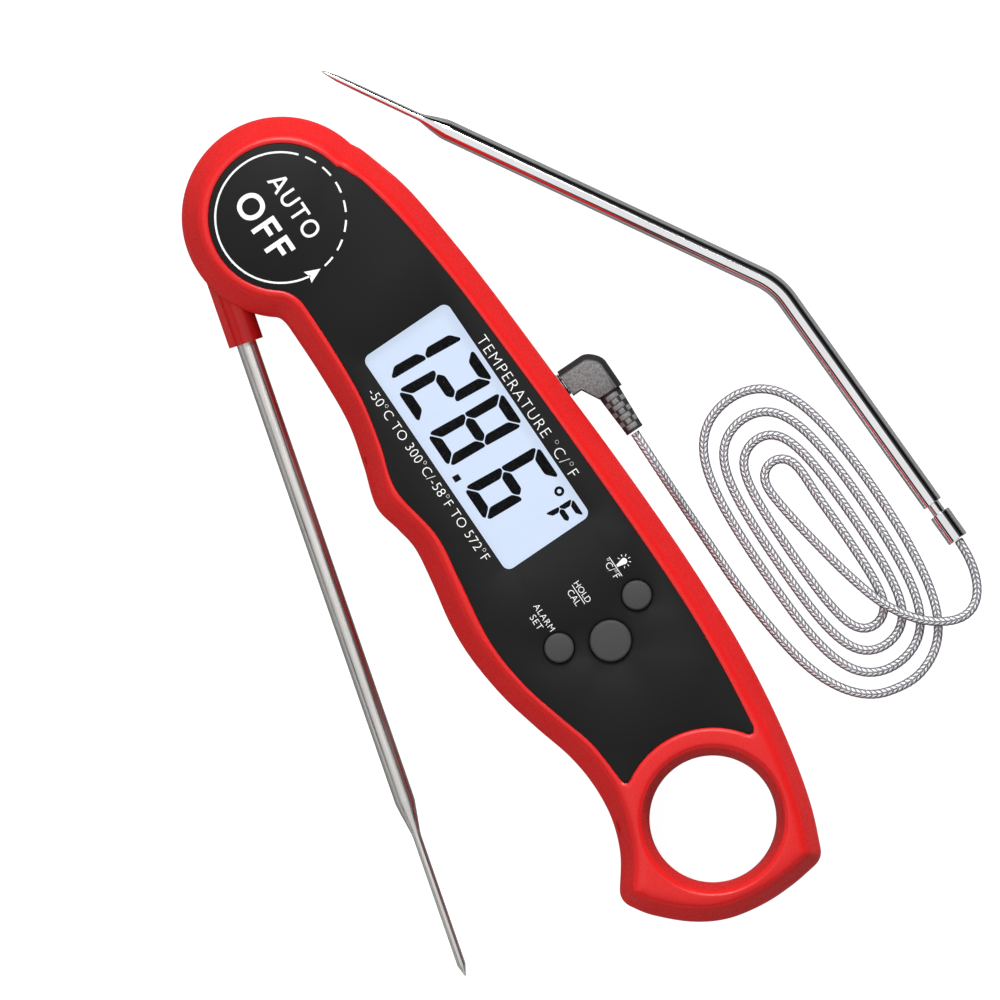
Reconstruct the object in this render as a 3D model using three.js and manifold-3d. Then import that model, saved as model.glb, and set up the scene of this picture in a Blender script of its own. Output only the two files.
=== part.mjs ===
// A folding meat thermometer with a second, wired probe.
// The handset lies on its back, display up. Millimetres; the origin is on the back face, on the folding
// probe's pivot axis. +Y runs from the hanging ring towards the pivot head, +X to the jack's side, +Z out of
// the display. The folding probe stands REST_OPEN degrees out of its channel and the wired probe is plugged in.
import * as THREE from "three";
import { mergeVertices } from "three/addons/utils/BufferGeometryUtils.js";
import Module from "manifold-3d";

const wasm = await Module();
wasm.setup();

// ---------------------------------------------------------------- driving dimensions
const GAP = 0.3; // between two pieces that would touch
const OUTLINE_POINTS = 132;

const HEAD_RADIUS = 17.7;
const CASE_TOP = 18.0;
const SHOULDER_Z = 12.2; // the side walls are upright below this and slope in above it
const BEVEL_Z = 17.3;
const BEVEL_INSET = 3.3;
const CREST_INSET = 4.2;
const PARTING_Z = 8.7;
const FOOT_INSET = 2.0;
const FOOT_Z = 2.4;

const PANEL_BOTTOM = 16.7;
const PANEL_TOP = 17.6;
const DECK_BOTTOM = 15.2;
const FLOOR_TOP = 2.0;

const RING = { x: 3.15, y: -129.1, bore: 11.05, mouth: 12.8, mouthDepth: 1.4 };
const PANEL_ARC = 16.1; // the panel's concave lower edge, about the ring's centre

const DISPLAY = { x0: -2.2, x1: 15.2, y0: -73.1, y1: -28.5, corner: 1.2 };
const BUTTONS = {
  alarm: { x: -2.25, y: -89.3, radius: 2.7 },
  hold: { x: 5.85, y: -93.3, radius: 3.75 },
  light: { x: 14.1, y: -89.3, radius: 2.7 },
};
const BUTTON_TOP = 19.0;
const BUTTON_TRAVEL = 0.8;
const BOARD = { x0: -3.6, x1: 17.0, y0: -101.5, y1: -27.5, z0: 11.4, z1: 12.5 };

const HUB = { radius: 16.2, z0: 5.6, z1: 11.8, bore: 6.05, post: 5.9 };
const PROBE_X = -13.1; // the folding probe's axis, folded, beside the pivot
const NECK = { width: 6.2, end: -18.7, flat: 1.2, round: 2.4 };
const SHAFT = { radius: 1.75, wall: 0.3, root: -9.2, taper: -103.5, thin: -109.5, cone: -133.8, tip: -135.6 };
const THIN_RADIUS = 0.78;
const REST_OPEN = 15.1; // degrees
const CHANNEL = { x: -11.05, z0: 6.2, z1: 11.2, y0: -137.5, y1: -14.0 };

const JACK = { y: -51.8, z: PARTING_Z, wall: 23.6, hole: 3.3, nose: 2.9, bore: 1.5 };
const PLUG = { pin: 1.25, x0: 24.5, thick: 5.0 };
const BOOT = { x: 30.0, y0: -57.7, y1: -65.4, r0: 2.0, r1: 1.65 };

const CORD_RADIUS = 0.75;
const COIL_HEIGHT = 1.6;
const WIRED = { radius: 1.8, wall: 0.3, z: 1.9, bend: 12.7 };
const WIRED_ROOT = new THREE.Vector2(65.85, -105.2);
const WIRED_ELBOW = new THREE.Vector2(64.8, -58.3);
const WIRED_TIP = new THREE.Vector2(20.0, 17.3);

const CELL = { x: 5.4, y: -90.0, radius: 10.0, z0: 2.5, z1: 5.7 };
const COVER = { radius: 13.2, z0: 0.35, z1: 1.5, rim: 11.1, lug: 12.0, lugZ: 3.3, rimTop: 4.0 };
const LOCK_TURN = 45; // degrees from the entries to locked
const MAGNETS = [
  { name: "upper_magnet", x: 7.0, y: -36.0 },
  { name: "lower_magnet", x: 7.0, y: -66.0 },
];
const MAGNET_RADIUS = 6.0;
const CASE_SCREWS = [
  [-1.0, -22.4],
  [13.2, -22.4],
  [-3.0, -106.5],
  [15.6, -108.0],
];

// ---------------------------------------------------------------- materials
const material = (color, roughness, metalness = 0) =>
  new THREE.MeshStandardMaterial({ color, roughness, metalness });
const RED = material(0xe01c1c, 0.45);
const PANEL_BLACK = material(0x222222, 0.5);
const KEY_GREY = material(0x4d4b4c, 0.6);
const SOFT_BLACK = material(0x1d1d1d, 0.8);
const STEEL = material(0xc9c7c3, 0.28, 1);
const BRIGHT = material(0xe6e6ea, 0.12, 1);
const BRAID = material(0xc8c6c9, 0.4, 0.8);
const LENS = material(0xf2f7ff, 0.05);
const LCD = material(0xdbe8ff, 0.4);
const DIFFUSER = material(0xf4f4f0, 0.6);
const BOARD_GREEN = material(0x1f5a34, 0.6);
const MAGNET = material(0x6b6b70, 0.4, 0.8);
const GOLD = material(0xcaa554, 0.3, 1);

// ---------------------------------------------------------------- solids and meshes
const rad = THREE.MathUtils.degToRad;
const v2 = (x, y) => new THREE.Vector2(x, y);
const v3 = (x, y, z) => new THREE.Vector3(x, y, z);

// A closed three.js geometry as a manifold solid, its faces turned outwards.
function solid(geometry) {
  const bare = geometry.index ? geometry.toNonIndexed() : geometry;
  const points = new THREE.BufferGeometry().setAttribute("position", bare.getAttribute("position"));
  const merged = mergeVertices(points, 1e-3);
  const triangles = [];
  for (let i = 0; i < merged.index.count; i += 3) {
    const [a, b, c] = [0, 1, 2].map((k) => merged.index.getX(i + k));
    if (a !== b && b !== c && a !== c) triangles.push(a, b, c);
  }
  const vertProperties = new Float32Array(merged.attributes.position.array);
  const build = (order) =>
    new wasm.Manifold(new wasm.Mesh({ numProp: 3, vertProperties, triVerts: new Uint32Array(order) }));
  const made = build(triangles);
  if (made.volume() >= 0) return made;
  for (let i = 0; i < triangles.length; i += 3) {
    [triangles[i + 1], triangles[i + 2]] = [triangles[i + 2], triangles[i + 1]];
  }
  return build(triangles);
}

function meshOf(name, shape, look) {
  const mesh = shape.getMesh();
  const points = new Float32Array(mesh.numVert * 3);
  for (let i = 0; i < mesh.numVert; i++) {
    points.set(mesh.vertProperties.subarray(i * mesh.numProp, i * mesh.numProp + 3), i * 3);
  }
  const geometry = new THREE.BufferGeometry()
    .setAttribute("position", new THREE.BufferAttribute(points, 3))
    .setIndex(new THREE.BufferAttribute(mesh.triVerts, 1));
  geometry.computeVertexNormals();
  const made = new THREE.Mesh(geometry, look);
  made.name = name;
  return made;
}

const cut = (base, ...tools) => tools.reduce((left, tool) => left.subtract(tool), base);
const join = (base, ...more) => more.reduce((left, piece) => left.add(piece), base);

// An upright prism over a closed outline, from z0 to z1.
function prism(points, z0, z1) {
  const shape = points instanceof THREE.Shape ? points : new THREE.Shape(points);
  const geometry = new THREE.ExtrudeGeometry(shape, { depth: z1 - z0, bevelEnabled: false });
  return solid(geometry.translate(0, 0, z0));
}

const block = (x0, x1, y0, y1, z0, z1) =>
  solid(
    new THREE.BoxGeometry(x1 - x0, y1 - y0, z1 - z0).translate((x0 + x1) / 2, (y0 + y1) / 2, (z0 + z1) / 2),
  );

// A turned solid about an upright axis: profile points are (radius, z).
function turned(profile, x = 0, y = 0, sides = 24) {
  const geometry = new THREE.LatheGeometry(profile.map(([r, z]) => v2(r, z)), sides);
  return solid(geometry.rotateX(Math.PI / 2).translate(x, y, 0));
}

const disc = (x, y, radius, z0, z1, sides = 24) =>
  turned([[0, z0], [radius, z0], [radius, z1], [0, z1]], x, y, sides);

const washer = (x, y, inner, outer, z0, z1, sides = 24) =>
  turned([[inner, z0], [outer, z0], [outer, z1], [inner, z1], [inner, z0]], x, y, sides);

// A turned solid about a level line: profile points are (radius, distance along from the start).
function turnedAlong(profile, start, towards, sides = 20) {
  const geometry = new THREE.LatheGeometry(profile.map(([r, d]) => v2(r, d)), sides);
  const direction = towards.clone().sub(start).normalize();
  const turn = new THREE.Quaternion().setFromUnitVectors(v3(0, 1, 0), direction);
  return solid(geometry.applyQuaternion(turn).translate(start.x, start.y, start.z));
}

// A round tube along a curve.
function tube(curve, radius, steps, sides = 8) {
  const section = new THREE.Shape(
    Array.from({ length: sides }, (_, i) => {
      const angle = (i / sides) * 2 * Math.PI;
      return v2(radius * Math.cos(angle), radius * Math.sin(angle));
    }),
  );
  return solid(new THREE.ExtrudeGeometry(section, { steps, extrudePath: curve, curveSegments: 1 }));
}

// ---------------------------------------------------------------- outlines
// The case's widest outline, anticlockwise from the right of the head.
function caseOutline() {
  const start = rad(15);
  const shape = new THREE.Shape();
  shape.moveTo(HEAD_RADIUS * Math.cos(start), HEAD_RADIUS * Math.sin(start));
  shape.absarc(0, 0, HEAD_RADIUS, start, rad(233), false);
  shape.quadraticCurveTo(-9.7, -14.9, -9.8, -17.5);
  shape.splineThru(
    [
      [-9.9, -26], [-10.6, -36], [-12.6, -43.8], [-14.8, -51], [-13.9, -56.5], [-13.3, -61], [-14.2, -67.5],
      [-15.6, -75], [-16, -82], [-15.2, -90.5], [-13.4, -98.5], [-11.4, -106], [-10.75, -112.5],
      [-11.4, -119], [-13.6, -125], [-17.0, -129.9],
    ].map(([x, y]) => v2(x, y)),
  );
  shape.quadraticCurveTo(-18.5, -131.7, -17.2, -133.8);
  shape.splineThru(
    [[-15, -137], [-10, -141.8], [-4.5, -144.9], [2, -146.3], [8, -146.4], [13.2, -145.8]].map(([x, y]) =>
      v2(x, y),
    ),
  );
  shape.quadraticCurveTo(15.2, -145.5, 15.9, -143.7);
  shape.splineThru(
    [
      [18.4, -137.5], [20.5, -130], [22.4, -120.5], [23.8, -110], [24.6, -99], [24.9, -85], [24.6, -67],
      [23.9, -50], [23.1, -31], [22.2, -19], [20.9, -8], [18.7, 0],
    ].map(([x, y]) => v2(x, y)),
  );
  shape.closePath();
  return shape.getSpacedPoints(OUTLINE_POINTS).slice(0, -1);
}

// The black front panel's outline.
function panelShape() {
  const shape = new THREE.Shape();
  const radius = 13.2;
  shape.moveTo(radius * Math.cos(rad(11)), radius * Math.sin(rad(11)));
  shape.absarc(0, 0, radius, rad(11), rad(234), false);
  shape.quadraticCurveTo(-5.4, -12.2, -5.3, -15.2);
  shape.splineThru(
    [
      [-5.45, -24], [-6.2, -34], [-8, -42.5], [-10.2, -50.7], [-8.8, -61], [-9.9, -70], [-11.5, -81.5],
      [-10.8, -91], [-8.7, -99.5], [-6.8, -106.5], [-6.2, -114.6],
    ].map(([x, y]) => v2(x, y)),
  );
  const left = Math.atan2(-115.1 - RING.y, -5.1 - RING.x);
  const right = Math.atan2(-120.0 - RING.y, 16.3 - RING.x);
  shape.quadraticCurveTo(-6.0, -115.8, RING.x + PANEL_ARC * Math.cos(left), RING.y + PANEL_ARC * Math.sin(left));
  shape.absarc(RING.x, RING.y, PANEL_ARC, left, right, true);
  shape.quadraticCurveTo(17.3, -121.2, 17.9, -119.6);
  shape.splineThru(
    [
      [19.1, -110], [20.0, -98], [20.2, -84], [19.8, -60], [19.2, -42], [18.4, -26], [17.0, -13],
      [15.0, -3.5],
    ].map(([x, y]) => v2(x, y)),
  );
  shape.closePath();
  return shape;
}

// The hollow between the two shells, clear of the hub, the probe channel and the hanging ring.
function cavityOutline() {
  const shape = new THREE.Shape();
  shape.moveTo(-4.6, -19.4);
  for (const [x, y] of [
    [-4.8, -32], [-8.6, -50], [-7.7, -61], [-9.3, -80], [-8.8, -88], [-5.0, -104.5], [-4.6, -111.0],
    [3.4, -111.3], [11.0, -112.6], [16.2, -116.2], [17.8, -113.6], [19.6, -100], [20.0, -84], [19.4, -57],
    [18.3, -33], [16.8, -19],
  ]) {
    shape.lineTo(x, y);
  }
  shape.lineTo(14.6, -11.2);
  shape.absarc(0, 0, 18.4, Math.atan2(-11.2, 14.6), Math.atan2(-17.8, -4.6), true);
  shape.closePath();
  return shape;
}

// A closed loop moved inwards by a distance. Points that would cross over at a tight corner meet in the mitre.
function inset(loop, distance) {
  if (!distance) return loop;
  const count = loop.length;
  const moved = loop.map((point, i) => {
    const along = loop[(i + 1) % count].clone().sub(loop[(i + count - 1) % count]).normalize();
    return point.clone().add(v2(-along.y, along.x).multiplyScalar(distance));
  });
  const toSegment = (p, a, b) => {
    const side = b.clone().sub(a);
    const share = THREE.MathUtils.clamp(p.clone().sub(a).dot(side) / side.lengthSq(), 0, 1);
    return p.distanceTo(a.clone().addScaledVector(side, share));
  };
  const good = moved.map(
    (p) => Math.min(...loop.map((a, i) => toSegment(p, a, loop[(i + 1) % count]))) > distance - 0.12,
  );
  return moved.map((point, i) => {
    if (good[i]) return point;
    let before = i;
    let after = i;
    while (!good[(before + count) % count]) before--;
    while (!good[after % count]) after++;
    return moved[(before + count) % count].clone().add(moved[after % count]).multiplyScalar(0.5);
  });
}

// A solid through level loops with the same number of points, from the lowest up: [[loop, z], ...].
function loft(levels) {
  const count = levels[0][0].length;
  const positions = levels.flatMap(([loop, z]) => loop.flatMap((p) => [p.x, p.y, z]));
  const index = [];
  for (let k = 0; k < levels.length - 1; k++) {
    for (let i = 0; i < count; i++) {
      const [a, b] = [k * count + i, k * count + ((i + 1) % count)];
      index.push(a, b, b + count, a, b + count, a + count);
    }
  }
  const cap = (k, up) => {
    const loop = levels[k][0];
    for (const [a, b, c] of THREE.ShapeUtils.triangulateShape(loop, [])) {
      const area = loop[b].clone().sub(loop[a]).cross(loop[c].clone().sub(loop[a]));
      const facesUp = area > 0;
      const [second, third] = facesUp === up ? [b, c] : [c, b];
      index.push(k * count + a, k * count + second, k * count + third);
    }
  };
  cap(0, false);
  cap(levels.length - 1, true);
  const geometry = new THREE.BufferGeometry();
  geometry.setAttribute("position", new THREE.Float32BufferAttribute(positions, 3));
  geometry.setIndex(index);
  return solid(geometry);
}

function roundedRectangle(x0, x1, y0, y1, corner) {
  const shape = new THREE.Shape();
  shape.moveTo(x0 + corner, y0);
  shape.lineTo(x1 - corner, y0);
  shape.absarc(x1 - corner, y0 + corner, corner, -Math.PI / 2, 0, false);
  shape.lineTo(x1, y1 - corner);
  shape.absarc(x1 - corner, y1 - corner, corner, 0, Math.PI / 2, false);
  shape.lineTo(x0 + corner, y1);
  shape.absarc(x0 + corner, y1 - corner, corner, Math.PI / 2, Math.PI, false);
  shape.lineTo(x0, y0 + corner);
  shape.absarc(x0 + corner, y0 + corner, corner, Math.PI, 1.5 * Math.PI, false);
  return shape.getPoints(4).slice(0, -1);
}

const grown = (box, by) => ({
  ...box,
  x0: box.x0 - by,
  x1: box.x1 + by,
  y0: box.y0 - by,
  y1: box.y1 + by,
});
const displayOutline = (by) => {
  const box = grown(DISPLAY, by);
  return roundedRectangle(box.x0, box.x1, box.y0, box.y1, DISPLAY.corner + Math.max(by, -0.9));
};

// ---------------------------------------------------------------- cutters that both shells share
const ringHole = turned(
  [
    [0, -1], [RING.mouth + 0.4, -1], [RING.mouth, 0], [11.9, RING.mouthDepth], [RING.bore, PARTING_Z],
    [11.9, CASE_TOP - RING.mouthDepth], [RING.mouth, CASE_TOP], [RING.mouth + 0.4, CASE_TOP + 1], [0, CASE_TOP + 1],
  ],
  RING.x,
  RING.y,
  40,
);

// The level slot that the hub and its neck turn in.
function hubSlot() {
  const [z0, z1] = [HUB.z0 - GAP, HUB.z1 + GAP];
  const reach = 34;
  const sweep = new THREE.Shape();
  sweep.moveTo(0, 0);
  sweep.absarc(0, 0, reach, rad(8), rad(226), false);
  sweep.closePath();
  const post = disc(0, 0, HUB.post, z0 - 1, z1 + 1, 40);
  const folded = block(-reach, -9.45, -24, -5, z0, z1);
  return cut(join(disc(0, 0, HUB.radius + GAP, z0, z1, 64), prism(sweep, z0, z1), folded), post);
}

const channel = block(-30, CHANNEL.x, CHANNEL.y0, CHANNEL.y1, CHANNEL.z0, CHANNEL.z1);
const jackHole = turnedAlong(
  [[0, 0], [JACK.hole, 0], [JACK.hole, 12], [0, 12]],
  v3(18, JACK.y, JACK.z),
  v3(30, JACK.y, JACK.z),
);
const gasketGroove = (z0, z1) => {
  const loop = inset(caseOutline(), 1.6);
  const inner = inset(caseOutline(), 2.6);
  return cut(prism(loop, z0, z1), prism(inner, z0 - 1, z1 + 1));
};

// ---------------------------------------------------------------- the two shells
function frontShell(slot) {
  const outline = caseOutline();
  const outer = loft([
    [outline, PARTING_Z + GAP / 2],
    [outline, SHOULDER_Z],
    [inset(outline, BEVEL_INSET), BEVEL_Z],
    [inset(outline, CREST_INSET), CASE_TOP],
  ]);
  const hollow = prism(cavityOutline(), PARTING_Z - 1, DECK_BOTTOM);
  const panelSeat = prism(grownPanel(), PANEL_BOTTOM - GAP, CASE_TOP + 1);
  const window = prism(displayOutline(1.1), DECK_BOTTOM - 1, CASE_TOP);
  const keyHoles = Object.values(BUTTONS).map((b) =>
    disc(b.x, b.y, b.radius + GAP, DECK_BOTTOM - 1, CASE_TOP, 24),
  );
  const bosses = CASE_SCREWS.map(([x, y]) => disc(x, y, 2.3, PARTING_Z + GAP, DECK_BOTTOM + 0.5, 14));
  const pilots = CASE_SCREWS.map(([x, y]) => disc(x, y, 1.25, PARTING_Z - 1, 14.0, 12));
  const pivotSeat = disc(0, 0, 3.1, 14.5, CASE_TOP, 20);
  const pivotHole = disc(0, 0, 1.6, PARTING_Z - 1, CASE_TOP, 14);
  const shell = cut(outer, hollow, panelSeat, window, ...keyHoles, slot, channel, ringHole, jackHole);
  return cut(join(shell, ...bosses), ...pilots, pivotSeat, pivotHole);
}

function grownPanel() {
  return inset(panelShape().getSpacedPoints(110).slice(0, -1), -GAP);
}

function backShell(slot) {
  const outline = caseOutline();
  const outer = loft([
    [inset(outline, FOOT_INSET), 0],
    [inset(outline, 0.6), 1.1],
    [outline, FOOT_Z],
    [outline, PARTING_Z - GAP / 2],
  ]);
  const hollow = prism(cavityOutline(), FLOOR_TOP, PARTING_Z + 1);
  const cellRing = disc(CELL.x, CELL.y, COVER.radius + 0.5, FLOOR_TOP - 0.5, 6.0, 36);
  const coverSeat = disc(CELL.x, CELL.y, COVER.radius + GAP, -1, COVER.z1 + GAP, 36);
  const coverHole = disc(CELL.x, CELL.y, COVER.rim + GAP, -1, 7, 36);
  const lugGroove = disc(CELL.x, CELL.y, COVER.lug + GAP, COVER.lugZ - GAP, COVER.rimTop + GAP, 36);
  const lugEntries = coverLugs(COVER.lug + GAP, 3.6, 0, COVER.rimTop);
  const sealGroove = disc(CELL.x, CELL.y, 12.9, 0, 2.5, 36).subtract(disc(CELL.x, CELL.y, 11.9, -1, 3, 36));
  const bosses = CASE_SCREWS.map(([x, y]) => disc(x, y, 2.9, FLOOR_TOP - 0.5, PARTING_Z - GAP, 14));
  const magnetBosses = MAGNETS.map((m) => disc(m.x, m.y, MAGNET_RADIUS + 1.3, FLOOR_TOP - 0.5, 3.6, 24));
  const magnetSeats = MAGNETS.map((m) => disc(m.x, m.y, MAGNET_RADIUS + GAP, -1, 2.6, 24));
  const screwSeats = CASE_SCREWS.map(([x, y]) => disc(x, y, 2.4, -1, 2.0, 16));
  const screwHoles = CASE_SCREWS.map(([x, y]) => disc(x, y, 1.25, 0, PARTING_Z + 1, 12));
  const pivotPilot = disc(0, 0, 1.6, 1.6, PARTING_Z + 1, 14);
  const soundHoles = [-2.5, 0, 2.5].map((dy) => disc(-2.5, JACK.y + dy, 0.6, -1, FLOOR_TOP + 1, 10));
  const shell = cut(outer, hollow, slot, channel, ringHole, jackHole);
  return cut(
    join(shell, cellRing, ...bosses, ...magnetBosses),
    coverSeat,
    coverHole,
    lugGroove,
    ...lugEntries,
    sealGroove,
    ...magnetSeats,
    ...screwSeats,
    ...screwHoles,
    ...soundHoles,
    pivotPilot,
  );
}

// ---------------------------------------------------------------- front: panel, display and keys
function facePanel() {
  const keyHoles = Object.values(BUTTONS).map((b) =>
    disc(b.x, b.y, b.radius + GAP, PANEL_BOTTOM - 1, PANEL_TOP + 1, 28),
  );
  return cut(
    prism(panelShape().getSpacedPoints(110).slice(0, -1), PANEL_BOTTOM, PANEL_TOP),
    prism(displayOutline(GAP), PANEL_BOTTOM - 1, PANEL_TOP + 1),
    ...keyHoles,
  );
}

function displayStack() {
  const glass = prism(displayOutline(0.7), 14.6, PANEL_BOTTOM - GAP);
  const light = prism(displayOutline(0.5), BOARD.z1 + 0.4, 14.3);
  return [
    meshOf("display_lens", prism(displayOutline(0), PANEL_BOTTOM, PANEL_TOP - 0.05), LENS),
    meshOf("lcd_panel", glass, LCD),
    meshOf("backlight_panel", light, DIFFUSER),
  ];
}

// A push button: a domed cap, and a flange under the deck that keeps it in.
function pushButton(name, { x, y, radius }) {
  const foot = DECK_BOTTOM - 0.7;
  const profile = [
    [0, foot], [radius + 0.7, foot], [radius + 0.7, foot + 0.4], [radius, foot + 0.4],
    [radius, BUTTON_TOP - 0.5], [radius - 0.45, BUTTON_TOP - 0.08], [0, BUTTON_TOP],
  ];
  return meshOf(`${name}_button`, turned(profile, x, y, 24), KEY_GREY);
}

function keySwitch(name, { x, y }) {
  const base = block(x - 2.2, x + 2.2, y - 2.2, y + 2.2, BOARD.z1 + GAP, BOARD.z1 + 0.8);
  const plunger = disc(x, y, 1.2, BOARD.z1 + 0.5, 13.6, 12);
  return meshOf(`${name}_switch`, join(base, plunger), BRIGHT);
}

// ---------------------------------------------------------------- inside the handset
function insideParts() {
  const board = cut(
    block(BOARD.x0, BOARD.x1, BOARD.y0, BOARD.y1, BOARD.z0, BOARD.z1),
    ...[0, 1].map((i) => disc(i ? 15.2 : -1.8, -78.5, 0.9, BOARD.z0 - 1, BOARD.z1 + 1, 10)),
  );
  const under = BOARD.z0 - GAP;
  const nose = turnedAlong(
    [[0, 0], [JACK.nose, 0], [JACK.nose, 5.4], [0, 5.4]],
    v3(18.2, JACK.y, JACK.z),
    v3(30, JACK.y, JACK.z),
  );
  const jackBody = join(
    block(10.6, 18.4, JACK.y - 3.2, JACK.y + 3.2, JACK.z - 2.4, under),
    nose,
  );
  const jackBore = turnedAlong(
    [[0, 0], [JACK.bore, 0], [JACK.bore, 20], [0, 20]],
    v3(12.4, JACK.y, JACK.z),
    v3(30, JACK.y, JACK.z),
    16,
  );
  const buzzer = cut(
    disc(0.5, JACK.y, 5.0, 8.0, under, 20),
    disc(0.5, JACK.y, 1.0, 7.0, 9.2, 12),
  );
  const sensor = block(-2.2, 0.8, -32.2, -28.6, under - 1.2, under);
  const clip = join(
    block(CELL.x + 3, CELL.x + 5, CELL.y - 3, CELL.y + 3, CELL.z1 + GAP, CELL.z1 + 0.7),
    block(CELL.x + 3, CELL.x + 3.5, CELL.y - 1.5, CELL.y + 1.5, CELL.z1 + GAP, under),
  );
  const spring = join(
    block(CELL.x - 5, CELL.x - 3, CELL.y - 3, CELL.y + 3, CELL.z1 + GAP, CELL.z1 + 0.7),
    block(CELL.x - 3.5, CELL.x - 3, CELL.y - 1.5, CELL.y + 1.5, CELL.z1 + GAP, under),
  );
  return [
    meshOf("main_board", board, BOARD_GREEN),
    meshOf("probe_jack", cut(jackBody, jackBore), SOFT_BLACK),
    meshOf("buzzer", buzzer, SOFT_BLACK),
    meshOf("hinge_sensor", sensor, SOFT_BLACK),
    meshOf("coin_cell", coinCell(), BRIGHT),
    meshOf("cell_contact_positive", clip, GOLD),
    meshOf("cell_contact_negative", spring, GOLD),
  ];
}

function coinCell() {
  const [z0, z1, r] = [CELL.z0, CELL.z1, CELL.radius];
  return turned([[0, z0], [r - 0.3, z0], [r, z0 + 0.3], [r, z1 - 0.5], [r - 1.4, z1], [0, z1]], CELL.x, CELL.y, 36);
}

// ---------------------------------------------------------------- back: cover, magnets and screws
// The case screws are driven from the back. The pivot screw is driven from the front, under the panel.
function backParts() {
  const magnets = MAGNETS.map((m) => meshOf(m.name, disc(m.x, m.y, MAGNET_RADIUS, 0.3, 2.3, 24), MAGNET));
  const screws = CASE_SCREWS.map(([x, y], i) =>
    meshOf(`case_screw_${i + 1}`, screw(x, y, { head: 2.1, top: 0.5, thick: 1.2, shank: 0.95, end: 13.2 }), STEEL),
  );
  const pivot = screw(0, 0, { head: 2.8, top: 0, thick: 1.4, shank: 1.3, end: 14.2 })
    .rotate([180, 0, 0])
    .translate([0, 0, 16.3]);
  const seal = washer(CELL.x, CELL.y, 12.1, 12.7, COVER.z1 + GAP, 2.35, 36);
  return [
    ...magnets,
    ...screws,
    meshOf("pivot_screw", pivot, STEEL),
    meshOf("battery_seal_ring", seal, SOFT_BLACK),
  ];
}

// A pan-head screw driven upwards from the back, with a cross recess.
function screw(x, y, { head, top, thick, shank, end }) {
  const body = turned(
    [[0, top], [head - 0.4, top], [head, top + 0.5], [head, top + thick], [shank, top + thick], [shank, end - 0.8], [0, end]],
    x,
    y,
    16,
  );
  const arm = head * 0.55;
  const recess = [
    block(x - arm, x + arm, y - 0.25, y + 0.25, top - 1, top + 0.6),
    block(x - 0.25, x + 0.25, y - arm, y + arm, top - 1, top + 0.6),
  ];
  return cut(body, ...recess);
}

// Three blocks round the battery cover's rim, at the given turn: its lugs, or the entries cut for them.
function coverLugs(reach, width, turn, top) {
  return [0, 120, 240].map((angle) =>
    block(CELL.radius + 0.5, reach, -width / 2, width / 2, turn ? COVER.lugZ : 0, top)
      .rotate([0, 0, angle + turn])
      .translate([CELL.x, CELL.y, 0]),
  );
}

// The round battery cover. Its lugs go in at the entries, and a coin turns them under the shell.
function batteryCover() {
  const { radius, z0, z1 } = COVER;
  const rim = washer(CELL.x, CELL.y, CELL.radius + GAP, COVER.rim, z1 - 0.3, COVER.rimTop, 36);
  const lugs = coverLugs(COVER.lug, 3.0, LOCK_TURN, COVER.rimTop);
  const plate = turned([[0, z0], [radius - 0.4, z0], [radius, z0 + 0.4], [radius, z1], [0, z1]], CELL.x, CELL.y, 36);
  const coinSlot = block(CELL.x - 6.5, CELL.x + 6.5, CELL.y - 1.0, CELL.y + 1.0, z0 - 1, z0 + 0.7);
  return meshOf("battery_cover", join(cut(plate, coinSlot), rim, ...lugs), RED);
}

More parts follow.
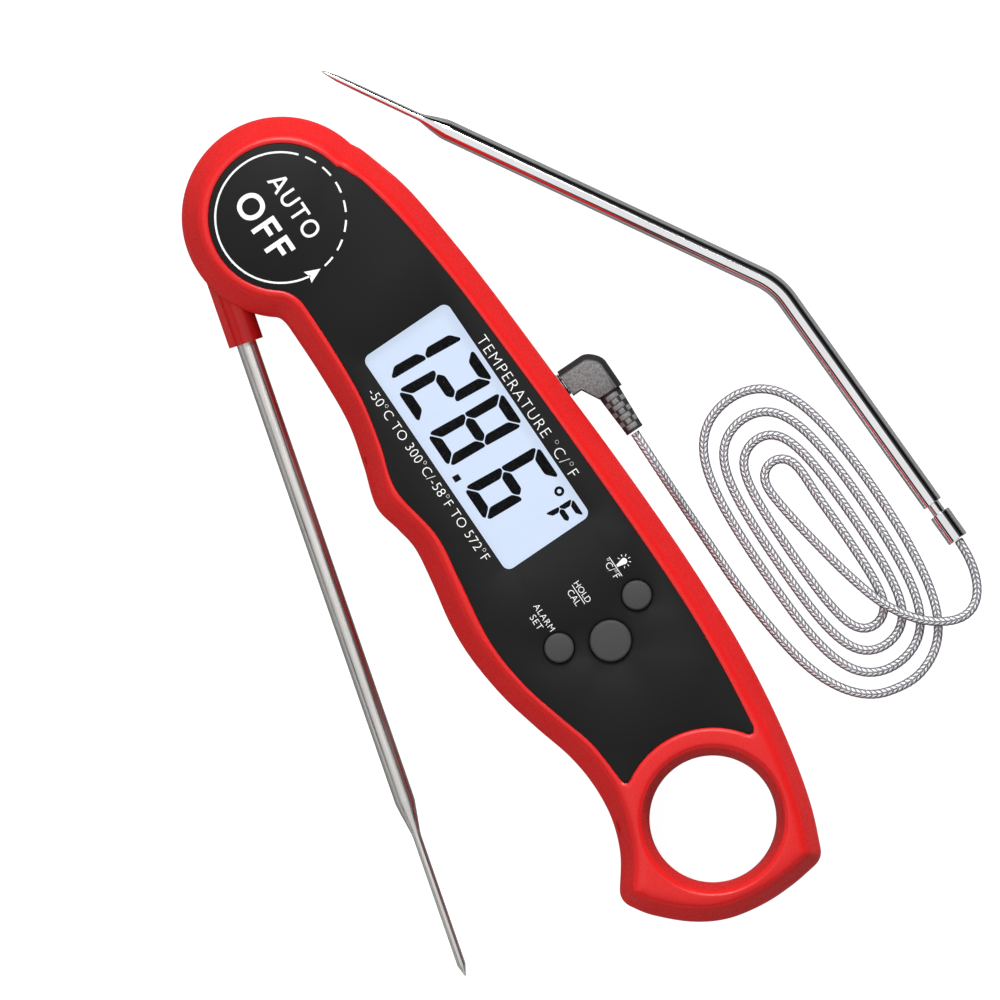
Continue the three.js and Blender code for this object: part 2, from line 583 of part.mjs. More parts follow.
// ---------------------------------------------------------------- the folding probe, drawn folded
function foldingProbe() {
  const group = new THREE.Group();
  const middle = (HUB.z0 + HUB.z1) / 2;
  const bendRoute = [
    v3(PROBE_X, -12, middle), v3(-12.4, -6.5, middle), v3(-10.0, -3.4, middle), v3(-6.8, -1.8, middle),
  ];
  const wirePath = new THREE.CatmullRomCurve3(
    [v3(PROBE_X, -128.5, middle), v3(PROBE_X, -70, middle), v3(PROBE_X, -20, middle), ...bendRoute],
    false,
    "centripetal",
  );
  const wireDuct = new THREE.CatmullRomCurve3(
    [v3(PROBE_X, -20, middle), ...bendRoute, v3(-5.0, -0.9, middle)],
    false,
    "centripetal",
  );
  const neckSection = new THREE.Shape([
    v2(-NECK.width / 2, -1.9), v2(-1.9, -3.1), v2(1.2, -3.1), v2(2.55, -2.3), v2(3.1, -1.0), v2(3.1, 1.0),
    v2(2.55, 2.3), v2(1.2, 3.1), v2(-1.9, 3.1), v2(-NECK.width / 2, 1.9),
  ]);
  const neck = solid(
    new THREE.ExtrudeGeometry(neckSection, { depth: -NECK.end, bevelEnabled: false })
      .rotateX(Math.PI / 2)
      .translate(PROBE_X, 0, middle),
  );
  const shaftHole = turnedAlong(
    [[0, 0], [2.0, 0], [2.0, 12], [0, 12]],
    v3(PROBE_X, SHAFT.root + GAP, middle),
    v3(PROBE_X, -100, middle),
    20,
  );
  const hub = cut(
    join(disc(0, 0, HUB.radius, HUB.z0, HUB.z1, 64), neck),
    disc(0, 0, HUB.bore, HUB.z0 - 1, HUB.z1 + 1, 40),
    washer(0, 0, 6.9, 9.9, HUB.z1 - 0.9, HUB.z1 + 1, 36),
    washer(0, 0, 6.9, 9.5, HUB.z0 - 1, HUB.z0 + 1.0, 36),
    disc(0, -12.6, 1.9, middle - 1.6, HUB.z1 + 1, 16),
    shaftHole,
    tube(wireDuct, 0.8, 18),
  );
  const wall = SHAFT.wall;
  const along = (y) => SHAFT.root - y;
  const shaft = turnedAlong(
    [
      [0, along(SHAFT.tip)], [THIN_RADIUS, along(SHAFT.cone)], [THIN_RADIUS, along(SHAFT.thin)],
      [SHAFT.radius, along(SHAFT.taper)], [SHAFT.radius, 0], [SHAFT.radius - wall, 0],
      [SHAFT.radius - wall, along(SHAFT.taper)], [0.55, along(SHAFT.thin)], [0.55, along(SHAFT.cone) - 0.2],
      [0, along(SHAFT.cone) - 0.2],
    ],
    v3(PROBE_X, SHAFT.root, middle),
    v3(PROBE_X, -200, middle),
    20,
  );
  const bead = turnedAlong(
    [[0, 0], [0.4, 0.3], [0.4, 2.4], [0, 2.9]],
    v3(PROBE_X, -129.4, middle),
    v3(PROBE_X, -200, middle),
    10,
  );
  group.add(
    meshOf("probe_hub", hub, RED),
    meshOf("probe_shaft", shaft, STEEL),
    meshOf("probe_thermistor", bead, SOFT_BLACK),
    meshOf("probe_wire", tube(wirePath, 0.28, 26, 6), GOLD),
    meshOf("hub_magnet", disc(0, -12.6, 1.5, middle - 1.3, middle + 2.0, 16), MAGNET),
  );
  group.rotation.z = -rad(REST_OPEN);
  return group;
}

// The friction washer and the O-ring between the hub and the shells.
function hubRings() {
  return [
    meshOf("hub_wave_washer", washer(0, 0, 7.2, 9.6, HUB.z1 - 0.6, HUB.z1 - 0.1, 32), STEEL),
    meshOf("hub_seal_ring", washer(0, 0, 7.2, 9.2, HUB.z0 - 0.1, HUB.z0 + 0.7, 32), SOFT_BLACK),
  ];
}

// ---------------------------------------------------------------- the wired probe
// Where the cord leaves the boot, runs down to the table and reaches the coil.
const LEAD_ROUTE = [
  [29.75, -65.7, 8.7], [29.7, -69.0, 8.6], [29.65, -72.5, 8.0], [29.6, -76.5, 6.4], [29.6, -80.5, 4.3],
  [29.6, -84.5, 2.5], [29.6, -88.5, 1.3], [29.6, -92.5, 0.85], [29.6, -96.7, 0.76],
];
// From the top of the coil, over its right-hand runs and up to the ferrule.
const TAIL_ROUTE = [
  [47.4, -111.0, 2.75], [48.8, -114.6, 2.75], [50.6, -118.0, 2.75], [52.9, -121.0, 2.75],
  [55.6, -123.2, 2.7], [58.4, -124.5, 2.3], [60.6, -124.6, 1.4], [62.6, -123.4, 0.85], [64.2, -121.2, 0.8],
  [65.3, -118.6, 1.1], [65.9, -115.8, 1.6], [66.0, -113.25, 1.9],
];

function coilOutline() {
  const shape = new THREE.Shape();
  shape.moveTo(28.7, -97.0);
  shape.lineTo(28.7, -104.5);
  shape.splineThru(
    [
      [31.0, -116.5], [35.0, -124.3], [40.5, -128.6], [45.6, -129.8], [51.5, -128.0], [56.0, -122.0],
      [58.8, -112.0], [59.5, -99.0], [58.6, -86.0], [55.4, -75.5], [51.0, -70.9], [46.2, -69.4],
      [41.0, -70.9], [36.6, -75.6], [34.1, -83.0], [33.4, -90.0],
    ].map(([x, y]) => v2(x, y)),
  );
  shape.lineTo(33.4, -97.0);
  shape.closePath();
  return shape.getPoints(2).slice(0, -1);
}

function plugParts() {
  const { thick, x0 } = PLUG;
  const [z0, z1] = [JACK.z - thick / 2, JACK.z + thick / 2];
  const body = prism(
    [
      v2(x0, -54.4), v2(26.2, -54.4), v2(27.9, -57.5), v2(32.6, -57.5), v2(32.6, -51.9), v2(31.7, -50.4),
      v2(30.0, -49.3), v2(x0, -49.3),
    ],
    z0,
    z1,
  );
  const start = v3(x0 - 0.2 - GAP, JACK.y, JACK.z);
  const into = v3(0, JACK.y, JACK.z);
  const sleeve = turnedAlong(
    [[0.75, 0], [2.2, 0], [2.2, 0.35], [PLUG.pin, 0.35], [PLUG.pin, 8.0], [0.75, 8.0], [0.75, 0]],
    start,
    into,
    20,
  );
  const tip = turnedAlong(
    [[0, 0], [0.45, 0], [0.45, 8.4], [PLUG.pin, 8.4], [PLUG.pin, 8.9], [0.8, 9.5], [1.15, 10.1], [0.7, 10.9], [0, 11.1]],
    start,
    into,
    20,
  );
  const boot = turnedAlong(
    [
      [0, 0], [BOOT.r0, 0], [BOOT.r0, 0.9], [BOOT.r0 - 0.3, 1.0], [BOOT.r0 - 0.3, 1.6], [BOOT.r0 - 0.1, 1.7],
      [BOOT.r0 - 0.15, 3.1], [BOOT.r1, 3.2], [BOOT.r1, 4.0], [BOOT.r1 + 0.1, 4.1], [BOOT.r1, 7.7], [0, 7.7],
    ],
    v3(BOOT.x, BOOT.y0, JACK.z),
    v3(BOOT.x, -200, JACK.z),
    20,
  );
  return [
    meshOf("plug_body", body, SOFT_BLACK),
    meshOf("plug_sleeve", sleeve, BRIGHT),
    meshOf("plug_tip", tip, BRIGHT),
    meshOf("plug_boot", boot, SOFT_BLACK),
  ];
}

// The bent line of the wired probe's shaft, from its root to where the tip's taper starts.
function wiredLine(from, upTo) {
  const z = WIRED.z;
  const down = WIRED_ROOT.clone().sub(WIRED_ELBOW).normalize();
  const up = WIRED_TIP.clone().sub(WIRED_ELBOW).normalize();
  const tangent = WIRED.bend * Math.tan((Math.PI - Math.acos(down.dot(up))) / 2);
  const at = (direction, distance) => {
    const p = WIRED_ELBOW.clone().addScaledVector(direction, distance);
    return v3(p.x, p.y, z);
  };
  const path = new THREE.CurvePath();
  const length = WIRED_ROOT.distanceTo(WIRED_ELBOW);
  const [arcIn, arcOut] = [at(down, tangent), at(up, tangent)];
  path.add(new THREE.LineCurve3(at(down, length - from), arcIn));
  path.add(new THREE.QuadraticBezierCurve3(arcIn, v3(WIRED_ELBOW.x, WIRED_ELBOW.y, z), arcOut));
  path.add(new THREE.LineCurve3(arcOut, at(up, upTo)));
  return path;
}

function wiredProbe() {
  const reach = WIRED_ELBOW.distanceTo(WIRED_TIP);
  const tip = v3(WIRED_TIP.x, WIRED_TIP.y, WIRED.z);
  const elbow = v3(WIRED_ELBOW.x, WIRED_ELBOW.y, WIRED.z);
  const point = turnedAlong(
    [[0, 0], [0.28, 0.1], [0.5, 3], [0.62, 19], [0.8, 20.2], [WIRED.radius, 24], [WIRED.radius, 27], [0, 27]],
    tip,
    elbow,
    16,
  );
  const outer = join(tube(wiredLine(0, reach - 26), WIRED.radius, 26, 16), point);
  const inside = join(
    tube(wiredLine(-1, reach - 26), WIRED.radius - WIRED.wall, 26, 10),
    turnedAlong([[0, 3.5], [0.32, 3.5], [0.4, 19], [1.4, 24.2], [1.4, 27], [0, 27]], tip, elbow, 10),
  );
  const root = v3(WIRED_ROOT.x, WIRED_ROOT.y, WIRED.z);
  const away = root.clone().add(root).sub(elbow);
  const ferrule = turnedAlong(
    [[0, 0.3], [1.2, 0.3], [1.2, 2.1], [1.75, 2.1], [1.9, 2.3], [1.9, 7.5], [1.7, 7.7], [0, 7.7]],
    root,
    away,
    20,
  );
  const bead = turnedAlong([[0, 4.0], [0.2, 4.2], [0.2, 6.5], [0, 7.0]], tip, elbow, 8);
  return [
    meshOf("wired_probe_shaft", cut(outer, inside), BRIGHT),
    meshOf("crimp_ferrule", ferrule, BRIGHT),
    meshOf("wired_thermistor", bead, SOFT_BLACK),
    meshOf("wired_probe_wire", tube(wiredLine(1, reach - 8), 0.22, 26, 6), GOLD),
  ];
}

function cordParts() {
  const curve = (route) => new THREE.CatmullRomCurve3(route.map((p) => v3(...p)), false, "centripetal");
  return [
    meshOf("cord_lead", tube(curve(LEAD_ROUTE), CORD_RADIUS, 16), BRAID),
    meshOf("cord_coil", prism(coilOutline(), 0, COIL_HEIGHT), BRAID),
    meshOf("cord_tail", tube(curve(TAIL_ROUTE), CORD_RADIUS, 16), BRAID),
  ];
}

// ---------------------------------------------------------------- the whole thermometer
const slot = hubSlot();
const thermometer = new THREE.Group();
thermometer.add(
  meshOf("front_shell", frontShell(slot), RED),
  meshOf("back_shell", backShell(slot), RED),
  meshOf("face_panel", facePanel(), PANEL_BLACK),
  ...displayStack(),
  ...insideParts(),
  ...backParts(),
  batteryCover(),
  ...hubRings(),
  foldingProbe(),
  ...plugParts(),
  ...cordParts(),
  ...wiredProbe(),
);
for (const [name, button] of Object.entries(BUTTONS)) {
  thermometer.add(pushButton(name, button), keySwitch(name, button));
}

export default thermometer;
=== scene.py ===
# The looks of a folding meat thermometer with a second, wired probe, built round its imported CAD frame.
# Lengths are in millimetres, in the CAD's frame, and become metres when a mesh is made.
import math

import bmesh
import bpy
import numpy as np
from mathutils import Matrix, Vector
from mathutils.geometry import delaunay_2d_cdt
from mathutils.kdtree import KDTree


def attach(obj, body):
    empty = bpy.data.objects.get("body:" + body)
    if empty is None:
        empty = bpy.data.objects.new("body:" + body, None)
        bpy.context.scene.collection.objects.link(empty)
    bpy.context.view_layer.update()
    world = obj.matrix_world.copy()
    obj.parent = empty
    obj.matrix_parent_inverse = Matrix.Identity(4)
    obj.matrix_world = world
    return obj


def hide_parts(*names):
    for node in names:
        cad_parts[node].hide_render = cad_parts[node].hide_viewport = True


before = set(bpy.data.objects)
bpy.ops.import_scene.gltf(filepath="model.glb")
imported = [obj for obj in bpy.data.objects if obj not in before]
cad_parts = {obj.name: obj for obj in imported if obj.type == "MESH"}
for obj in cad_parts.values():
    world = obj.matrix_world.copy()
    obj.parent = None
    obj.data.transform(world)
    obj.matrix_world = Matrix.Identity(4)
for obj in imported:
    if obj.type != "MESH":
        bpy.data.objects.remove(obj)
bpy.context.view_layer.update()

MM = 0.001
RED = (0.60, 0.011, 0.011)

# ---------------------------------------------------------------- the case's levels, from the CAD
PARTING_Z = 8.7
HALF_GAP = 0.15
BEVEL_FOOT_Z = 12.4
CREST_Z = 18.0
PANEL_SEAT_Z = 16.4
PANEL_Z = (16.7, 17.6)
DECK_Z = 15.2
FLOOR_Z = 2.0
FOOT_Z = 2.4
BUTTON_TOP_Z = 19.0
HUB_Z = (5.6, 11.8)
HUB_MID_Z = 8.7
GAP = 0.3

HEAD_RADIUS = 17.5
RING_CENTRE = (3.15, -129.1)
RING_MOUTH = 12.85
RING_BORE = 11.05
DISPLAY = (-2.2, 15.2, -73.1, -28.5)
DISPLAY_CORNER = 1.2
BUTTONS = {
    "alarm": (-2.25, -89.3, 2.7),
    "hold": (5.85, -93.3, 3.75),
    "light": (14.1, -89.3, 2.7),
}
CELL_CENTRE = (5.4, -90.0)
CASE_SCREWS = [(-1.0, -22.4), (13.2, -22.4), (-3.0, -106.5), (15.6, -108.0)]
MAGNETS = [(7.0, -36.0), (7.0, -66.0)]
BEVEL_MARKS = [
    [(-12.2, -44.2), (-10.1, -43.2), (-11.76, -42.7)],
    [(-11.6, -122.0), (-9.3, -120.5), (-11.1, -120.0)],
]
SCREW_HOLE = 1.25
PIVOT_HOLE = 1.6
FACE_CUT = (14.5, 17.2)
BOSS_FOOT = 1.5
HUB_BORE = 16.5
POST_RADIUS = 5.9
NECK_SWEEP = (8, 226)
JACK_Y = -51.8
PROBE_X = -13.1
REST_OPEN = math.radians(15.1)


# ---------------------------------------------------------------- camera, floor and light
AIM = Vector((3.7, -62.2, 0)) * MM
UP = Vector((0.5621, 0.8271, 0)).normalized()
RIGHT = Vector((UP.y, -UP.x, 0))
CAMERA_HEIGHT = 7.0
SENSOR = 36
SEEN_WIDTH = 174.7 * MM


def placed(name, data):
    """A new object in the scene."""
    made = bpy.data.objects.new(name, data)
    bpy.context.scene.collection.objects.link(made)
    return made


def make_camera():
    """Straight above, turned so that the handset slants down to the right, through a very long lens."""
    data = bpy.data.cameras.new("camera")
    data.sensor_width = SENSOR
    data.lens = SENSOR * CAMERA_HEIGHT / SEEN_WIDTH
    data.clip_end = 30
    camera = placed("camera", data)
    turn = Matrix((RIGHT, UP, Vector((0, 0, 1)))).transposed().to_4x4()
    camera.matrix_world = Matrix.Translation(AIM + Vector((0, 0, CAMERA_HEIGHT))) @ turn
    bpy.context.scene.camera = camera


def area_light(name, offset, size, power, in_gloss=True, in_diffuse=True):
    """A rectangular lamp that is offset from the object's middle and faces it."""
    data = bpy.data.lights.new(name, "AREA")
    data.shape = "RECTANGLE"
    data.size, data.size_y = size
    data.energy = power
    light = placed(name, data)
    light.location = AIM + offset
    light.rotation_euler = (-offset).to_track_quat("-Z", "Y").to_euler()
    light.visible_glossy = in_gloss
    light.visible_diffuse = in_diffuse


class Nodes:
    """A node tree that is built a step at a time."""

    def __init__(self, tree):
        self.tree = tree

    def node(self, kind, **settings):
        made = self.tree.nodes.new(kind)
        for key, value in settings.items():
            setattr(made, key, value)
        return made

    def link(self, source, target):
        self.tree.links.new(source, target)
        return self

    def part(self, vector, axis):
        """One number of a vector."""
        split = self.node("ShaderNodeSeparateXYZ")
        self.link(vector, split.inputs[0])
        return split.outputs[axis]

    def between(self, value, low, high, start=0.35, end=0.65, kind="LINEAR"):
        """The value taken from start..end to low..high, and held at its ends."""
        made = self.node("ShaderNodeMapRange", interpolation_type=kind)
        for key, number in {"From Min": start, "From Max": end, "To Min": low, "To Max": high}.items():
            made.inputs[key].default_value = number
        self.link(value, made.inputs["Value"])
        return made.outputs["Result"]

    def maths(self, operation, value, other=None):
        made = self.node("ShaderNodeMath", operation=operation)
        self.link(value, made.inputs[0])
        if isinstance(other, (int, float)):
            made.inputs[1].default_value = other
        elif other is not None:
            self.link(other, made.inputs[1])
        return made.outputs[0]


SKY_BANDS = [(0.0, 0.8), (0.34, 0.8), (0.38, 0.02), (0.64, 0.02), (0.7, 0.9)]  # height, grey
SKY_DARK_SIDE = (0.964, 0.265, 0)


def make_light():
    """A main light from the view's top, a wide fill, a light for the crests, and a banded studio sky."""
    bpy.context.scene.view_settings.view_transform = "Standard"
    level = UP * 0.95 + RIGHT * 0.26
    area_light("main_light", level * 1.45 + Vector((0, 0, 0.82)), (0.7, 0.45), 32.5, in_gloss=False)
    area_light("fill_light", RIGHT * -0.75 + Vector((0, 0, 1.45)), (1.3, 1.3), 10.0, in_gloss=False)
    area_light("crest_light", UP * 0.9 + Vector((0, 0, 1.4)), (0.6, 0.6), 18.0, in_diffuse=False)
    world = bpy.data.worlds.new("studio")
    bpy.context.scene.world = world
    world.use_nodes = True
    sky = Nodes(world.node_tree)
    way = sky.node("ShaderNodeTexCoord").outputs["Generated"]
    height = sky.part(way, "Z")
    ramp = sky.node("ShaderNodeValToRGB")
    elements = ramp.color_ramp.elements
    elements.remove(elements[0])
    for place, grey in SKY_BANDS[:-1]:
        elements.new(place).color = (grey, grey, grey, 1)
    elements[-1].position, grey = SKY_BANDS[-1]
    elements[-1].color = (grey, grey, grey, 1)
    side = sky.node("ShaderNodeVectorMath", operation="DOT_PRODUCT")
    side.inputs[1].default_value = SKY_DARK_SIDE
    low = sky.between(height, 0.45, 1.0, 0.12, 0.22)
    turned_away = sky.maths("MULTIPLY", side.outputs["Value"], low)
    dim = sky.between(turned_away, 1.0, 0.05, 0.34, 0.46, "SMOOTHSTEP")
    background = world.node_tree.nodes["Background"]
    sky.link(height, ramp.inputs[0]).link(way, side.inputs[0]).link(ramp.outputs[0], background.inputs[0])
    sky.link(dim, background.inputs["Strength"])


make_camera()
make_light()


# ---------------------------------------------------------------- materials
class Shader(Nodes):
    """A node material: a Principled shader whose colour, gloss and relief are built up in steps."""

    def __init__(self, name, colour, roughness, metallic=0.0):
        self.material = bpy.data.materials.new(name)
        self.material.use_nodes = True
        super().__init__(self.material.node_tree)
        self.bsdf = self.tree.nodes["Principled BSDF"]
        self.coords = self.node("ShaderNodeTexCoord").outputs["Object"]
        self.colour = (*colour, 1)
        self.roughness = roughness
        self.bump_from = None
        self.bsdf.inputs["Metallic"].default_value = metallic

    def noise(self, size, detail=3.0, stretch=(1, 1, 1), turn=0.0):
        """Noise whose grains are about that many millimetres across, drawn out along an axis by stretch."""
        place = self.node("ShaderNodeMapping", vector_type="TEXTURE")
        place.inputs["Scale"].default_value = [size * s * MM for s in stretch]
        place.inputs["Rotation"].default_value = (0, 0, turn)
        made = self.node("ShaderNodeTexNoise")
        made.inputs["Scale"].default_value = 1.0
        made.inputs["Detail"].default_value = detail
        self.link(self.coords, place.inputs[0]).link(place.outputs[0], made.inputs["Vector"])
        return made.outputs["Fac"]

    def level(self):
        """How level the surface is: 1 where it faces up or down, 0 where it is upright."""
        normal = self.node("ShaderNodeNewGeometry").outputs["Normal"]
        return self.maths("ABSOLUTE", self.part(normal, "Z"))

    def tint(self, value, colour, amount=1.0):
        """Mixes another colour in where value is high."""
        mix = self.node("ShaderNodeMix", data_type="RGBA")
        factor = self.between(value, 0.0, amount)
        self.link(factor, mix.inputs["Factor"])
        self.put(mix.inputs[6])
        mix.inputs[7].default_value = (*colour, 1)
        self.colour = mix.outputs[2]
        return self

    def put(self, socket):
        if isinstance(self.colour, tuple):
            socket.default_value = self.colour
        else:
            self.link(self.colour, socket)

    def rough(self, value, spread):
        low, high = self.roughness - spread, self.roughness + spread
        self.link(self.between(value, low, high), self.bsdf.inputs["Roughness"])
        return self

    def bump(self, value, height_mm, strength=1.0):
        made = self.node("ShaderNodeBump")
        made.inputs["Distance"].default_value = height_mm * MM
        made.inputs["Strength"].default_value = strength
        self.link(value, made.inputs["Height"])
        if self.bump_from is not None:
            self.link(self.bump_from, made.inputs["Normal"])
        self.bump_from = made.outputs[0]
        return self

    def set(self, **inputs):
        for key, value in inputs.items():
            self.bsdf.inputs[key.replace("_", " ")].default_value = value
        return self

    def done(self):
        self.put(self.bsdf.inputs["Base Color"])
        if self.bump_from is not None:
            self.link(self.bump_from, self.bsdf.inputs["Normal"])
        if not self.bsdf.inputs["Roughness"].is_linked:
            self.bsdf.inputs["Roughness"].default_value = self.roughness
        return self.material


def moulded(name, colour, roughness, grain_mm=0.12, relief_mm=0.004, shade=0.82):
    """Moulded plastic: a fine spark-eroded grain, with slow changes of tone and gloss."""
    made = Shader(name, colour, roughness)
    slow = made.noise(14.0, 2.0)
    fine = made.noise(grain_mm, 2.0)
    made.tint(slow, [c * shade for c in colour], 0.5)
    made.tint(fine, [min(1, c * 1.12 + 0.004) for c in colour], 0.35)
    made.rough(fine, 0.05).bump(fine, relief_mm)
    return made


def metal(name, colour, roughness, brush=(1, 1, 1), relief_mm=0.001, turn=0.0):
    """Metal with fine lines drawn out along brush."""
    made = Shader(name, colour, roughness, 1.0)
    lines = made.noise(0.25, 3.0, brush, turn)
    slow = made.noise(9.0, 2.0)
    made.tint(slow, [c * 0.86 for c in colour], 0.5)
    made.rough(lines, roughness * 0.35).bump(lines, relief_mm)
    return made


def case_material(name="red_case", share=1.0):
    # share scales the whole red: below 1 it makes a darker copy, which is painted shade
    made = moulded(name, [c * share for c in RED], 0.3, 0.16, 0.0012, 0.93)
    scuffs = made.noise(0.5, 6.0, (1, 7, 1), 0.6)
    made.tint(made.between(scuffs, 0, 1, 0.66, 0.8), [0.72 * share, 0.035 * share, 0.03 * share], 0.25)
    return made.set(Specular_IOR_Level=0.24).done()


def mottled(name, colour, roughness, grain, other, amount, spread, relief_mm=0.0):
    """Two close tones in grains of one size, whose gloss changes with them. grain is its size and detail."""
    made = Shader(name, colour, roughness)
    spots = made.noise(*grain)
    made.tint(spots, other, amount).rough(spots, spread)
    return made.bump(spots, relief_mm) if relief_mm else made


def plug_material():
    """Black rubbery plastic with a fine texture, and a painted sheen that turns it grey on flat faces and
    fades at their edges.
    """
    made = moulded("plug_black", (0.014, 0.014, 0.0145), 0.42, 0.22, 0.01, 0.8)
    # painted sheen: the grey shows only where the surface faces up or down, so the crowned edges stay black
    flat = made.between(made.level(), 0.0, 1.0, 0.88, 0.998)
    grain = made.noise(0.27, 2.0)
    spots = made.maths("MULTIPLY", flat, made.between(grain, 0.45, 1.0, 0.36, 0.64))
    made.tint(made.between(spots, 0.35, 0.65, 0, 1), (0.205, 0.205, 0.205), 1.0)
    return made.bump(grain, 0.02).set(Specular_IOR_Level=0.3).done()


def lens_material():
    """Clear acrylic: mostly see-through, with a thin gloss over it."""
    made = Shader("lens_clear", (0.02, 0.022, 0.024), 0.06)
    smears = made.noise(5.0, 4.0)
    return made.rough(smears, 0.02).set(Alpha=0.03, Specular_IOR_Level=0.3).done()


def board_material():
    made = Shader("board_green", (0.012, 0.10, 0.035), 0.4)
    copper = made.noise(1.4, 1.0, (1, 4, 1))
    made.tint(made.between(copper, 0, 1, 0.5, 0.53), (0.03, 0.19, 0.07), 1.0)
    return made.rough(copper, 0.08).bump(copper, 0.03).done()


BRAID_PITCH = 0.93
BRAID_COLUMNS = 6


def braid_material():
    """Steel braid: columns of slanted strands whose slant alternates, which make a herringbone."""
    made = Shader("braid", (0.93, 0.93, 0.94), 0.4, 0.1)
    place = made.node("ShaderNodeUVMap", uv_map="braid").outputs[0]
    column = made.maths("PINGPONG", made.part(place, "X"), 1.0)
    strand = made.maths("FRACT", made.maths("ADD", made.part(place, "Y"), column))
    edge = made.maths("ABSOLUTE", made.maths("SUBTRACT", strand, 0.5))
    side = made.maths("ABSOLUTE", made.maths("SUBTRACT", column, 0.5))
    gap = made.maths("MAXIMUM", edge, made.maths("MULTIPLY", side, 0.97))
    height = made.between(gap, 1.0, 0.0, 0.25, 0.42)
    # painted shade: the gaps between the strands are tinted dark, for the shade that falls in them
    made.tint(made.between(height, 0.65, 0.35, 0.25, 0.85), (0.028, 0.025, 0.032))
    # painted shade: the cord is darker where its surface turns to the side, and lightest on top
    made.tint(made.between(made.level(), 0.65, 0.35, 0.42, 0.84), (0.05, 0.045, 0.055), 0.9)
    wires = made.noise(0.07, 2.0)
    made.tint(wires, (0.74, 0.74, 0.81), 0.5)
    return made.rough(wires, 0.08).bump(height, 0.14).bump(wires, 0.006).done()


def make_floor():
    made = Shader("floor", (0.22, 0.22, 0.22), 0.7)
    soft = made.noise(60.0, 2.0)
    made.tint(soft, (0.216, 0.216, 0.216), 0.6)
    made.set(Specular_IOR_Level=0.1, Emission_Color=(1, 1, 1, 1))
    seen = made.node("ShaderNodeLightPath").outputs["Is Camera Ray"]
    made.link(made.maths("MULTIPLY", seen, 0.95), made.bsdf.inputs["Emission Strength"])
    mesh = bpy.data.meshes.new("floor")
    mesh.from_pydata([(-4, -4, 0), (4, -4, 0), (4, 4, 0), (-4, 4, 0)], [], [(0, 1, 2, 3)])
    mesh.materials.append(made.done())
    floor = placed("floor", mesh)
    floor.location.z = -0.02 * MM


make_floor()

LOOKS = {
    "case": case_material(),
    # painted shade: the hub and its neck get a darker copy of the case's red
    "arm": case_material("red_arm_shaded", 0.81),
    "panel": moulded("face_black", (0.0068,) * 3, 0.5, 0.1, 0.003, 0.92).set(Specular_IOR_Level=0.12).done(),
    "key": moulded("key_grey", (0.043, 0.041, 0.042), 0.5, 0.2, 0.012, 0.92).set(
        Specular_IOR_Level=0.25
    ).done(),
    "plug": plug_material(),
    "ribs": mottled("plug_ribs", (0.10,) * 3, 0.5, (0.15, 2.0), (0.2,) * 3, 1.0, 0.1, 0.02).done(),
    "rubber": moulded("soft_black", (0.016, 0.016, 0.016), 0.7, 0.2, 0.01).done(),
    "inner": moulded("inner_black", (0.02, 0.02, 0.021), 0.45, 0.3, 0.008).done(),
    "print": mottled("print_white", (0.86,) * 3, 0.5, (0.3, 3.0), (0.74,) * 3, 0.5, 0.08).done(),
    "segment": mottled(
        "lcd_segment", (0.0015, 0.0015, 0.002), 0.4, (0.6, 2.0), (0.006, 0.006, 0.008), 0.6, 0.05
    ).set(Specular_IOR_Level=0.03).done(),
    # painted light: the display glows evenly, so that its recess doesn't darken towards its edges
    "lcd": mottled("lcd_glass", (0.10, 0.12, 0.15), 0.35, (16.0, 1.0), (0.11, 0.13, 0.16), 0.6, 0.04).set(
        Emission_Color=(0.62, 0.72, 0.89, 1), Emission_Strength=0.95, Specular_IOR_Level=0.1
    ).done(),
    "lens": lens_material(),
    "board": board_material(),
    "diffuser": mottled(
        "diffuser", (0.85, 0.86, 0.84), 0.5, (0.8, 1.0), (0.76, 0.78, 0.78), 0.6, 0.06, 0.01
    ).done(),
    "braid": braid_material(),
    "satin": metal("satin_steel", (0.70, 0.68, 0.655), 0.36, (1, 80, 1), 0.0006, -REST_OPEN).done(),
    "screw": metal("screw_steel", (0.6, 0.59, 0.58), 0.32).done(),
    "bright": metal("bright_steel", (0.90, 0.90, 0.92), 0.07, (1, 1, 1), 0.0001).done(),
    "magnet": metal("magnet_nickel", (0.36, 0.36, 0.38), 0.35).done(),
    "gold": metal("contact_gold", (0.72, 0.5, 0.24), 0.3).done(),
}


# ---------------------------------------------------------------- outlines
def rounded(start, control, end, count):
    """Points along a quadratic curve."""
    steps = np.linspace(0, 1, count)
    return [(1 - t) ** 2 * start + 2 * t * (1 - t) * control + t * t * end for t in steps]


class Outline:
    """A closed outline, drawn piece by piece and then spaced evenly."""

    def __init__(self, x, y):
        self.points = [np.array((x, y), float)]

    def arc(self, centre, radius, start, end):
        count = max(6, int(abs(end - start) * radius / 0.3))
        for angle in np.linspace(start, end, count):
            self.points.append(np.array(centre) + radius * np.array((math.cos(angle), math.sin(angle))))
        return self

    def corner(self, control, end):
        """A quadratic curve round a corner."""
        self.points += rounded(self.points[-1], np.array(control, float), np.array(end, float), 16)[1:]
        return self

    def spline(self, *points):
        self.points += list(catmull([self.points[-1], *points], 24))[1:]
        return self

    def straight(self, *points):
        self.points += [np.array(point, float) for point in points]
        return self

    def closed(self, spacing):
        return even(np.array(self.points), spacing, True)


def catmull(points, steps):
    """A uniform Catmull-Rom curve through the points, with its ends doubled."""
    p = np.array([points[0], *points, points[-1]], float)
    out = [p[1]]
    for i in range(1, len(p) - 2):
        a, b, c, d = p[i - 1 : i + 3]
        for t in np.linspace(0, 1, steps + 1)[1:]:
            v0, v1 = (c - a) / 2, (d - b) / 2
            cubic, square = 2 * b - 2 * c + v0 + v1, -3 * b + 3 * c - 2 * v0 - v1
            out.append(cubic * t**3 + square * t * t + v0 * t + b)
    return np.array(out)


